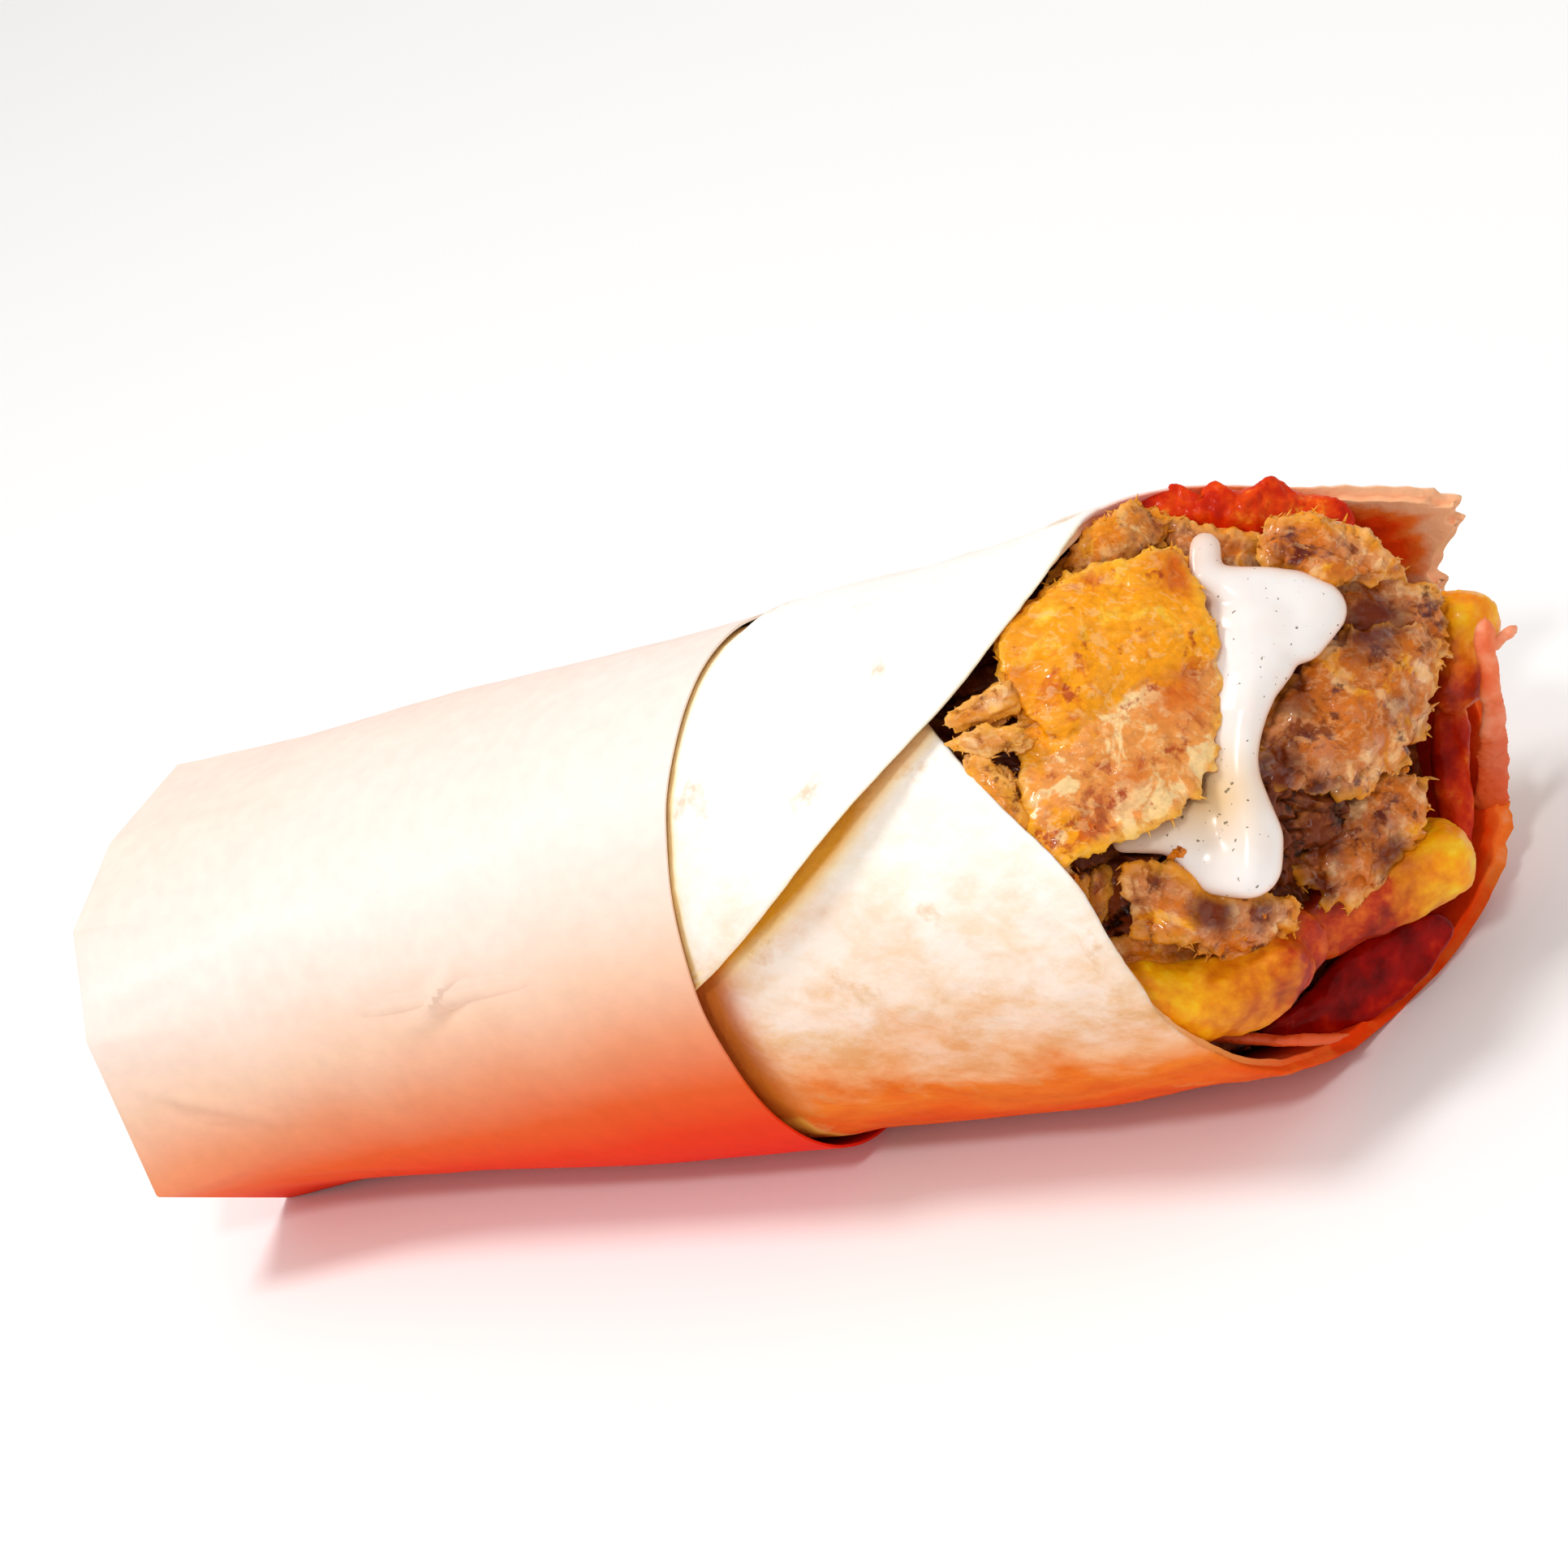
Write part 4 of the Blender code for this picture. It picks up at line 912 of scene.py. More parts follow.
def flat_shell(outline, out, slope, thickness, dome, ragged, seed=0.0, grid_mm=0.4):
    """A sheet lying in the mouth, as points and faces of a smooth closed shell: an outline across and up,
    a height out of the mouth that slopes and is domed, and an edge torn by ragged millimetres."""
    middle = sum((Vector(p) for p in outline), Vector((0, 0))) / len(outline)
    reach = max((Vector(p) - middle).length for p in outline)
    around = int(max(60, 2 * math.pi * reach / grid_mm))
    rings = int(max(8, reach / grid_mm * 0.7))
    edge = []
    for p in closed_curve(outline, around):
        here = Vector((p.x, p.y, seed))
        spikes = 0.45 - 1.6 * abs(noise.noise(here * 0.34)) - 0.9 * abs(noise.noise(here * 0.9))
        tear = spikes + 0.4 * noise.noise(here * 2.3)
        edge.append(p + (p - middle).normalized() * ragged * tear)
    shares = [math.sin(0.5 * math.pi * (i + 1) / rings) for i in range(rings)]
    points = []
    for side, steps in ((1, shares), (-1, shares[::-1][1:])):
        for share in steps:
            half = thickness / 2 * (1 - 0.5 * share ** 3)
            half *= math.sqrt(max(0.0, 1 - max(0.0, 1 - (1 - share) * reach / 0.8) ** 2))
            for p in edge:
                q = middle.lerp(p, share)
                offset = q - middle
                wave = 0.7 * noise.noise(Vector((q.x, q.y, seed + 5)) * 0.13)
                level = out + slope[0] * offset.x + slope[1] * offset.y + dome * (1 - share * share) + wave
                points.append(mouth_point(q.x, q.y, level + side * half))
    rows = 2 * rings - 1
    faces = ring_faces(rows, around)
    hubs = len(points)
    level = out + dome
    points += [mouth_point(*middle, level + thickness / 2), mouth_point(*middle, level - thickness / 2)]
    last = (rows - 1) * around
    for i in range(around):
        j = (i + 1) % around
        faces += [(j, hubs, i), (last + i, hubs + 1, last + j)]
    return points, faces


def joined_piece(name, shells):
    points, faces = [], []
    for shell_points, shell_faces in shells:
        start = len(points)
        points += shell_points
        faces += [tuple(start + i for i in face) for face in shell_faces]
    return new_piece(name, points, faces)


def mouth_places(piece):
    """Every vertex's place across and up the mouth, in millimetres."""
    places = np.empty(3 * len(piece.data.vertices), np.float32)
    piece.data.vertices.foreach_get("co", places)
    places = (places.reshape(-1, 3) - np.array(WRAP_ORIGIN + MOUTH_CENTRE * MM)) / MM
    return places @ np.array(MOUTH_ACROSS), places @ np.array(MOUTH_UP)


def edge_share(piece, outline, reach):
    """1 on the outline's edge, falling to 0 at reach millimetres inside it."""
    across, up = mouth_places(piece)
    ring = np.array([tuple(p) for p in closed_curve(outline, 120)])
    nearest = np.full(len(across), 1e9)
    for u, v in ring:
        nearest = np.minimum(nearest, np.hypot(across - u, up - v))
    return np.clip(1 - nearest / reach, 0, 1)


def fibre_axes(degrees):
    """Directions along and across the fibres, which lie in the mouth's plane."""
    a = math.radians(degrees)
    along = MOUTH_ACROSS * math.cos(a) + MOUTH_UP * math.sin(a)
    return tuple(along), tuple(MOUTH_FACING.cross(along))


JUICE_AND_SHADE_PATCHES = (  # across, up, reach, how dark: patches partly of juice run together, partly painted shade in gaps and holes
    (26.4, 22.6, 6.0, 0.9), (16.0, 14.5, 5.0, 0.6), (14.0, 5.0, 5.0, 0.9), (19.4, -1.6, 6.5, 1.1),
    (30.0, 12.0, 3.6, 0.55), (29.6, -5.6, 3.6, 0.9), (6.6, -11.6, 4.0, 0.9),
    (35.6, 9.0, 4.5, 0.9), (20.0, -9.8, 3.6, 0.9), (14.0, 31.0, 4.0, 0.4), (27.0, -2.0, 5.0, 0.5),
    (12.0, -12.0, 4.0, 0.5), (-6.0, -13.0, 5.0, 0.5), (2.0, -16.6, 4.0, 0.5), (-14.0, -10.0, 5.0, 0.4),
    (2.0, 13.0, 5.0, 0.7), (2.0, 29.0, 4.5, 0.7), (-16.0, 16.0, 4.0, 0.5), (-4.0, 3.0, 5.0, 0.45),
)


def juice_and_shade_at(across, up):
    """How dark the meat is made at each place in the mouth, partly by soaked juice and partly as painted shade.
    """
    stain_and_shade_mix = np.zeros(len(across))
    for u, v, reach, dark in JUICE_AND_SHADE_PATCHES:
        away = np.hypot(across - u, up - v) / reach
        stain_and_shade_mix = np.maximum(stain_and_shade_mix, dark * np.clip(1.3 - away, 0, 1))
    return stain_and_shade_mix


def fray_tree(material):
    """Fine torn fibres that stand out of a slice where its edge is torn."""
    tree, given = new_tree("fray_edges", Density=2.4e5, Length=1.1, Width=0.4, Tilt=1.1, Seed=1)
    torn = named(tree, "torn")
    edge = math_node(tree, "GREATER_THAN", torn, 0.55)
    spots = add_node(tree, "GeometryNodeDistributePointsOnFaces", {
        "Mesh": given.outputs["Geometry"], "Selection": edge, "Density": given.outputs["Density"],
        "Seed": given.outputs["Seed"]})
    fibre = add_node(tree, "GeometryNodeMeshCone", {
        "Vertices": 6, "Side Segments": 3, "Radius Top": 0.04 * MM,
        "Radius Bottom": math_node(tree, "MULTIPLY", given.outputs["Width"], 0.5 * MM),
        "Depth": math_node(tree, "MULTIPLY", given.outputs["Length"], MM)})
    tilt = math_node(tree, "MULTIPLY", given.outputs["Tilt"], -1.0)
    lean = add_node(tree, "FunctionNodeRandomValue", data_type="FLOAT_VECTOR")
    tree.links.new(add_node(tree, "ShaderNodeCombineXYZ", {0: tilt, 1: tilt, 2: -3.14}).outputs[0],
                   lean.inputs[0])
    tree.links.new(add_node(tree, "ShaderNodeCombineXYZ", {
        0: given.outputs["Tilt"], 1: given.outputs["Tilt"], 2: 3.14}).outputs[0], lean.inputs[1])
    size = add_node(tree, "FunctionNodeRandomValue", data_type="FLOAT")
    size.inputs[2].default_value, size.inputs[3].default_value = 0.4, 1.2
    turned = add_node(tree, "FunctionNodeRotateRotation", {
        0: spots.outputs["Rotation"], 1: lean.outputs[0]}, rotation_space="LOCAL")
    fringe = add_node(tree, "GeometryNodeInstanceOnPoints", {
        "Points": spots.outputs["Points"], "Instance": fibre.outputs["Mesh"], "Rotation": turned,
        "Scale": size.outputs[1]})
    whole = add_node(tree, "GeometryNodeJoinGeometry", {0: given.outputs["Geometry"]})
    tree.links.new(fringe.outputs[0], whole.inputs[0])
    end_tree(tree, whole, material)
    return tree


def make_meat(name, slot, node, trees, shells, outline, grain, inside, **values):
    """A slice from one or more torn sheets, and where its cut inside shows."""
    piece = joined_piece(name, shells)
    along, across = fibre_axes(grain)
    grow(piece, trees[0], Along=along, Across=across, Out=tuple(MOUTH_FACING), **values)
    places = mouth_places(piece)
    floats(piece, "torn", edge_share(piece, outline, 1.8))
    floats(piece, "inside", inside(*places))
    floats(piece, "juice_and_shade", juice_and_shade_at(*places))
    grow(piece, trees[1], Seed=len(node))
    return dress(piece, slot, node)


def large_slice_inside(across, up):
    """The large slice is seared golden at the top, and shows its paler, pinker inside below its fold."""
    below_fold = (16.5 - up) + 0.5 * (across + 2)
    lower_right = np.clip((across + 14) / 14, 0, 1)
    return np.clip(below_fold / 6, 0, 1) * (0.5 + 0.5 * lower_right) * np.clip((up + 5.5) / 3, 0, 1)


SEARED = meat_material("seared_gyro_meat", "#d66408", "#fca00e", "#ffc63a", "#a83406",
                       ("#c0602a", "#ee9848", "#fed494"), 0.5, 7.0)
CRISPED = meat_material("crisped_gyro_meat", "#742002", "#e07c0c", "#ffae2c", "#5a1a05",
                        ("#944014", "#dc8a38", "#fac27c"), 0.5, 5.0)
ROAST = meat_material("roast_gyro_meat", "#641a04", "#d4701a", "#fcaa20", "#5a1804",
                      ("#924414", "#d88a50", "#f8c084"), 0.9, 6.5)
SHREDDED = meat_material("shredded_gyro_meat", "#9a3c04", "#e48a28", "#ffb83c", "#6c2204",
                         ("#a44e18", "#de9458", "#f8c48c"), 0.5, 2.4)
MEATS = {kind: (relief_tree(kind + "_relief", made), fray_tree(made)) for kind, made in (
    ("seared", SEARED), ("crisped", CRISPED), ("roast", ROAST), ("shredded", SHREDDED))}
LARGE_SLICE = (
    (-18.7, 22.4), (-12.2, 27.4), (-3.0, 31.0), (3.6, 31.4), (5.6, 25.4), (8.4, 19.0), (7.6, 10.0),
    (6.6, 4.6), (3.4, 0.2), (-4.8, -3.6), (-12.0, -5.8), (-14.6, -5.2), (-16.8, 1.0), (-17.2, 9.0),
    (-19.4, 16.5),
)
UPPER_CRUST = (  # the part above the fold, which lies on the rest
    (-18.2, 21.8), (-12.0, 26.8), (-3.0, 30.4), (3.2, 30.6), (7.6, 19.6), (3.6, 16.8), (-3.0, 14.0),
    (-9.6, 9.4), (-14.0, 9.0), (-18.6, 16.0),
)
TORN_FOOT = ((-13.6, -7.0), (-15.6, -1.4), (-8.0, -2.0), (-1.6, 0.0), (2.4, -0.4), (-6.4, -4.6))


def make_large_slice():
    shells = [
        flat_shell(LARGE_SLICE, 20.3, (-0.05, -0.32), 3.0, 1.6, 1.3, 1),
        flat_shell(UPPER_CRUST, 20.2, (-0.05, -0.34), 2.2, 1.3, 0.8, 2),
        flat_shell(TORN_FOOT, 26.2, (-0.05, -0.25), 1.6, 0.4, 1.4, 3),
    ]
    make_meat("carved_large_slice", "seared_meat", "slice_large_front", MEATS["seared"], shells, LARGE_SLICE,
              20, large_slice_inside, Lumps=0.5, Fibres=0.22, Creases=0.14, Crumb=0.14, Tear=0.3,
              FibreWidth=0.6, BundleWidth=6.0)


make_large_slice()

SLICES = (  # node, meat, height out, slope, thickness, dome, ragged edge, fibre direction, outline
    ("slice_right", "roast", 12.5, (-0.36, -0.08), 4.4, 1.8, 1.6, 32, (
        (10.5, 8.0), (16.5, 17.0), (23.4, 22.6), (34.0, 23.0), (35.6, 17.5), (33.3, 8.6),
        (27.2, 2.4), (19.4, 1.0), (12.0, 2.6))),
    ("slice_low_front", "roast", 20.5, (-0.28, 0.10), 3.0, 1.0, 1.6, -20, (
        (-4.6, -7.2), (0.5, -6.4), (7.3, -9.4), (17.0, -10.4), (16.0, -14.8), (9.4, -18.6),
        (2.4, -15.4), (-3.4, -14.4))),
    ("slice_lower_right", "roast", 8.0, (-0.30, -0.05), 3.8, 1.2, 1.8, 35, (
        (16.6, -5.8), (21.0, 0.4), (27.2, 5.0), (33.6, 4.0), (34.4, -2.0), (31.0, -6.6),
        (28.0, -10.6), (22.0, -12.2), (18.4, -9.6))),
    ("slice_right_upper", "roast", 6.0, (-0.30, -0.22), 4.4, 1.0, 1.6, 20, (
        (17.6, 30.0), (24.4, 31.0), (30.6, 28.6), (36.0, 26.2), (37.2, 22.0), (36.0, 18.6),
        (27.0, 19.0), (18.4, 23.6))),
    ("slice_top_glazed", "roast", 10.0, (-0.15, -0.35), 4.0, 1.2, 0.9, 60, (
        (13.0, 34.2), (19.0, 35.6), (27.0, 32.4), (31.2, 28.4), (22.6, 26.6), (13.6, 29.2))),
    ("slice_behind_flap", "crisped", 8.5, (-0.20, -0.30), 3.0, 0.8, 1.2, 40, (
        (-13.0, 27.6), (-8.1, 33.4), (-2.4, 37.6), (3.0, 35.4), (1.2, 30.6), (-5.8, 28.2))),
    ("slice_top_back", "roast", 5.0, (-0.10, -0.25), 3.6, 0.8, 1.2, 70, (
        (0.2, 35.6), (8.0, 34.6), (15.4, 32.0), (13.6, 27.8), (2.0, 29.4))),
    ("slice_low_small", "crisped", 17.5, (-0.28, 0.12), 2.0, 0.4, 1.0, 0, (
        (-7.6, -15.8), (-0.8, -14.6), (9.6, -16.6), (8.6, -19.0), (-4.8, -19.0))),
    ("shaving_left_upper", "shredded", 23.0, (0.10, -0.20), 2.2, 0.2, 0.8, 25, (
        (-25.2, 11.4), (-17.4, 15.6), (-16.6, 12.4), (-23.6, 9.0))),
    ("shaving_left_middle", "shredded", 25.5, (0.05, -0.15), 2.0, 0.2, 0.8, 5, (
        (-25.6, 7.8), (-21.0, 10.0), (-15.6, 9.2), (-19.6, 6.2))),
    ("shaving_left_lower", "shredded", 25.0, (0.05, -0.10), 2.2, 0.2, 0.8, -50, (
        (-23.6, 5.6), (-20.4, 6.2), (-15.0, -2.0), (-17.8, -2.8))),
    ("shaving_low_left", "shredded", 21.5, (0.10, 0.05), 4.0, 0.2, 0.8, 70, (
        (-15.8, -9.4), (-14.2, -5.0), (-10.8, -6.0), (-8.8, -11.6), (-10.6, -14.0))),
    ("shaving_low_middle", "shredded", 19.0, (-0.10, 0.05), 4.0, 0.2, 0.8, 75, (
        (-9.6, -14.6), (-8.4, -7.4), (-5.4, -6.4), (-6.0, -13.4))),
)
MEAT_SLOTS = {"crisped": "seared_meat", "roast": "roast_meat", "shredded": "roast_meat"}
SHREDS = {  # for each bunch of shavings, its strips as paths of (across, up, out, width)
    "shaving_left_upper": (
        ((-23.0, 9.6, 22.2, 1.7), (-20.0, 12.4, 22.4, 1.8), (-16.2, 15.0, 21.6, 1.2)),
        ((-20.6, 10.4, 22.8, 1.4), (-18.4, 12.0, 23.0, 2.4), (-15.6, 13.2, 22.2, 1.6)),
        ((-22.4, 8.8, 21.2, 1.2), (-17.0, 11.2, 21.4, 1.4))),
    "shaving_left_middle": (
        ((-24.8, 7.4, 24.0, 1.2), (-19.4, 9.6, 24.4, 1.8), (-14.4, 10.4, 23.6, 1.4)),
        ((-22.2, 6.6, 24.2, 1.6), (-17.5, 7.5, 24.6, 2.4), (-13.6, 8.6, 23.8, 1.6)),
        ((-21.4, 8.6, 23.2, 1.0), (-16.0, 9.2, 23.4, 1.2))),
    "shaving_left_lower": (
        ((-21.4, 6.2, 24.0, 1.4), (-17.6, 3.8, 24.2, 1.5)),
        ((-19.0, 5.8, 23.0, 2.0), (-17.4, 2.6, 22.8, 2.6), (-16.2, -0.4, 22.4, 1.6)),
        ((-17.4, -1.8, 24.2, 1.0), (-14.6, -0.8, 24.8, 1.4), (-12.6, 0.2, 24.2, 1.2))),
    "shaving_low_left": (
        ((-14.6, -1.4, 24.8, 1.6), (-13.2, -6.0, 24.8, 2.4), (-14.0, -10.4, 24.0, 1.2)),
        ((-12.0, -5.0, 23.6, 2.0), (-10.9, -8.6, 23.2, 2.6), (-11.4, -12.6, 21.8, 1.2)),
        ((-9.4, -6.6, 21.4, 1.8), (-9.0, -10.2, 20.8, 1.6), (-9.6, -13.8, 19.8, 1.0)),
        ((-15.0, -4.6, 22.2, 1.6), (-13.4, -9.0, 21.6, 1.8))),
    "shaving_low_middle": (
        ((-7.4, -6.8, 19.8, 1.6), (-7.0, -10.6, 19.4, 1.8), (-7.6, -14.4, 18.2, 1.0)),
        ((-5.6, -7.0, 18.6, 1.2), (-5.2, -11.0, 18.4, 1.4), (-6.0, -13.8, 17.6, 0.9)),
        ((-9.0, -8.0, 18.2, 1.2), (-8.4, -12.6, 17.6, 1.4))),
}
SHEETS = (  # share of the thickness, part of the outline, shift across, up and out, seed
    (0.45, 1.0, 0.0, 0.0, -1.2, 0), (0.4, 0.86, 0.5, 1.2, 0.3, 1), (0.34, 0.58, -0.8, -1.8, 1.5, 2),
)


def ribbon_shell(path, thickness, ragged=0.3):
    """A flat strip that follows a path in the mouth, as points and faces of a closed shell."""
    around, steps = 16, 12 * (len(path) - 1)
    points = []
    for k in range(steps + 1):
        i = min(k // 12, len(path) - 2)
        t = k / 12 - i
        here, ahead = Vector(path[i][:3]), Vector(path[i + 1][:3])
        spot = here.lerp(ahead, t)
        run = (ahead - here).normalized()
        side = run.cross(Vector((0, 0, 1))).normalized()
        front = side.cross(run)
        half = (path[i][3] + (path[i + 1][3] - path[i][3]) * t) / 2
        half *= 1 + 0.3 * noise.noise(spot * 0.14) + ragged * (noise.noise(spot * 0.5) + noise.noise(spot * 1.7))
        spot += (0.3 + ragged) * (noise.noise(spot * 0.3) * side + noise.noise(spot * 0.25) * front)
        close = 0.15 + 0.85 * smoothstep(0, 5, min(k, steps - k))
        for j in range(around):
            a = 2 * math.pi * j / around
            lobe = side * math.cos(a) * half * close + front * math.sin(a) * thickness / 2 * close
            points.append(mouth_point(*(spot + lobe)))
    faces = ring_faces(steps + 1, around)
    hubs = len(points)
    points += [mouth_point(*path[0][:3]), mouth_point(*path[-1][:3])]
    for i in range(around):
        j = (i + 1) % around
        faces += [(j, i, hubs), (steps * around + i, steps * around + j, hubs + 1)]
    return points, faces


def make_slices():
    """Each slice is a few thin sheets that stuck together as they were cut; shavings are loose strips."""
    for number, (node, meat, out, slope, thick, dome, ragged, grain, outline) in enumerate(SLICES):
        middle = sum((Vector(p) for p in outline), Vector((0, 0))) / len(outline)
        size = max((Vector(p) - middle).length for p in outline) / 14
        shells = [ribbon_shell(path, 0.8) for path in SHREDS.get(node, ())]
        for share, part, across, up, lift, seed in SHEETS[:2] if shells else SHEETS:
            shift = Vector((across, up)) * size
            ring = [tuple(middle + (Vector(p) - middle) * part + shift) for p in outline]
            level = out + lift * thick / 4 + slope[0] * shift.x + slope[1] * shift.y
            shells.append(flat_shell(ring, level, slope, max(1.1, thick * share), dome, ragged,
                                     3.1 * number + seed))
        rough = {"roast": 1.0, "crisped": 0.75, "shredded": 0.6}[meat]
        make_meat("carved_" + node, MEAT_SLOTS[meat], node, MEATS[meat], shells, outline, grain,
                  lambda across, up: np.full(len(across), 0.45), Lumps=1.3 * rough, Fibres=0.24 * rough,
                  Creases=0.22 * rough, Crumb=0.07, Tear=0.34, FibreWidth=0.7, Seed=7.3 * number)


make_slices()

# ---------------------------------------------------------------------------------- torn bread strips
# Two slivers torn from the flatbread's inner face: one stands up in front of the fry on the right, and
# one lies along the bottom of the mouth. They are about a millimetre thick and stained pink by the juice,
# and darker orange lower down, painted shade.


def torn_bread():
    made, tree, shader = new_material("torn_bread_lining")
    tone = ramp(tree, pattern(tree, 4.0, detail=4), ((0.34, "#e8602c"), (0.5, "#f58a58"), (0.66, "#ffba92")))
    # Painted shade: darker orange lower down.
    low = ramp(tree, height_share(tree, 20, 46), ((0.0, 1.0), (1.0, 0.1)))
    colour = blend_colour(tree, low.outputs[0], tone.outputs[0], "#e0581c")
    tree.links.new(colour, shader.inputs["Base Color"])
    fine = pattern(tree, 0.7, detail=4, stretch=(1, 1, 2))
    bumps = add_node(tree, "ShaderNodeBump", {"Height": fine, "Strength": 0.35, "Distance": 0.15 * MM})
    tree.links.new(bumps.outputs[0], shader.inputs["Normal"])
    shader.inputs["Roughness"].default_value = 0.45
    shader.inputs["IOR"].default_value = 1.45
    shader.inputs["Subsurface Weight"].default_value = 0.3
    shader.inputs["Subsurface Radius"].default_value = (1.0, 0.5, 0.3)
    shader.inputs["Subsurface Scale"].default_value = 1.5 * MM
    return made


STRIPS = (  # thickness, then the points of its path: across, up and out of the mouth, and its width there
    (1.4, ((44.2, -1.0, -15.0, 5.0), (44.2, 4.0, -10.0, 4.6), (43.2, 9.0, -2.0, 4.0), (42.0, 14.0, 3.6, 3.2),
           (41.2, 19.0, 5.0, 2.6), (40.8, 23.8, 5.4, 2.2))),
    (1.0, ((41.6, 19.2, 5.0, 2.0), (43.2, 20.8, 4.4, 1.6), (45.2, 22.6, 4.0, 1.1))),
    (2.2, ((5.0, -27.0, 9.4, 1.4), (11.0, -27.6, 9.6, 1.6), (18.0, -27.8, 8.6, 1.6), (25.0, -27.2, 6.0, 1.3))),
)


def make_strips():
    tree = relief_tree("strip_relief", torn_bread())
    for name, shapes in (("torn_bread_right", STRIPS[:2]), ("torn_bread_low", STRIPS[2:])):
        piece = joined_piece(name, [ribbon_shell(path, thickness, 0.02) for thickness, path in shapes])
        grow(piece, tree, Grid=0.25, Along=fibre_axes(90)[0], Across=fibre_axes(90)[1],
             Out=tuple(MOUTH_FACING), Lumps=0.3, Fibres=0.1, Creases=0.1, Crumb=0.06, Tear=0.2)
        dress(piece, "wheat_flatbread", "flatbread")


make_strips()

# ---------------------------------------------------------------------------------- fries
# Potato sticks cut 9 to 10 mm square and fried, with a thin golden crust; each turns deep orange-red
# towards one end, painted shade where it runs into the filling.


def fried_potato():
    made, tree, shader = new_material("fried_potato")
    patch = pattern(tree, 4.0, detail=5, rough=0.6)
    pale = ramp(tree, patch, ((0.3, "#f08202"), (0.44, "#fc9e04"), (0.58, "#ffba08"), (0.72, "#ffd63c")))
    brown = ramp(tree, patch, ((0.32, "#881600"), (0.5, "#bc3000"), (0.68, "#ea6c0c")))
    # Painted shade: each stick turns deep orange-red towards its shaded end.
    along = add_node(tree, "ShaderNodeAttribute", attribute_name="end_painted_shade")
    wander = add_node(tree, "ShaderNodeMath", {0: pattern(tree, 3.0, detail=3), 1: 0.8, 2: -0.4},
                      operation="MULTIPLY_ADD")
    end_painted_shade = add_node(tree, "ShaderNodeMath", {0: along.outputs["Fac"], 1: wander}, operation="ADD")
    end_painted_shade = ramp(tree, end_painted_shade, ((0.2, 0.0), (0.85, 1.0)))
    tone = blend_colour(tree, end_painted_shade, pale.outputs[0], brown.outputs[0])
    tree.links.new(tone, shader.inputs["Base Color"])
    fine = pattern(tree, 0.8, detail=5, rough=0.6)
    bumps = add_node(tree, "ShaderNodeBump", {"Height": fine, "Strength": 0.4, "Distance": 0.2 * MM})
    tree.links.new(bumps.outputs[0], shader.inputs["Normal"])
    shader.inputs["Roughness"].default_value = 0.4
    shader.inputs["IOR"].default_value = 1.45
    shader.inputs["Specular IOR Level"].default_value = 0.2
    shader.inputs["Coat Weight"].default_value = 0.15
    shader.inputs["Coat Roughness"].default_value = 0.15
    shader.inputs["Subsurface Weight"].default_value = 0.2
    shader.inputs["Subsurface Radius"].default_value = (1.0, 0.6, 0.2)
    shader.inputs["Subsurface Scale"].default_value = 1.5 * MM
    return made


def fry_tree():
    """Sweeps a square with rounded corners along a stick's centre line, then blisters its crust."""
    tree, given = new_tree("sweep_fry", Width=9.0, Depth=9.0, Corner=3.3, Blister=0.6, Seed=0.0)
    line = add_node(tree, "GeometryNodeMeshToCurve", {0: given.outputs["Geometry"]})
    to_metres = [math_node(tree, "MULTIPLY", given.outputs[k], MM) for k in ("Width", "Depth", "Corner")]
    square = add_node(tree, "GeometryNodeCurvePrimitiveQuadrilateral",
                      {"Width": to_metres[0], "Height": to_metres[1]})
    soft = add_node(tree, "GeometryNodeFilletCurve", {"Curve": square, "Count": 5, "Radius": to_metres[2]},
                    mode="POLY")
    fine = add_node(tree, "GeometryNodeResampleCurve", {"Curve": soft, "Count": 64})
    stick = add_node(tree, "GeometryNodeCurveToMesh", {
        "Curve": line, "Profile Curve": fine, "Scale": named(tree, "girth"), "Fill Caps": True})
    place = vector_node(tree, "SCALE", add_node(tree, "GeometryNodeInputPosition").outputs[0], 1 / MM)
    place = vector_node(tree, "ADD", place, add_node(tree, "ShaderNodeCombineXYZ", {
        0: given.outputs["Seed"]}).outputs[0])
    lumps = math_node(tree, "SUBTRACT", tree_noise(tree, place, 4.0, detail=4.0), 0.5)
    push = math_node(tree, "MULTIPLY", math_node(tree, "MULTIPLY", lumps, given.outputs["Blister"]), 4 * MM)
    normal = add_node(tree, "GeometryNodeInputNormal").outputs[0]
    moved = add_node(tree, "GeometryNodeSetPosition", {
        "Geometry": stick, "Offset": vector_node(tree, "SCALE", normal, push)})
    end_tree(tree, moved, fried_potato())
    return tree


FRIES = (  # node, start and end, width, depth, bend up and out, painted shade at the start and at the end
    ("fry_front", ((-6.0, -21.0, 19.0), (17.4, -16.2, 14.0)), 9.2, 9.0, (-4.0, 1.0), (0.0, 0.8)),
    ("fry_front_inner", ((10.0, -23.6, 8.0), (19.4, -12.6, 11.0)), 8.6, 8.6, (0.0, 0.4), (0.9, 0.9)),
    ("fry_lower_right", ((17.0, -14.6, 1.0), (39.2, -4.2, 1.0)), 10.2, 9.2, (0.0, 0.8), (1.6, -0.1)),
    ("fry_upper_right", ((37.6, 12.5, -5.0), (39.6, 27.0, -2.0)), 9.4, 8.0, (0.6, 0.5), (1.5, -0.2)),
)


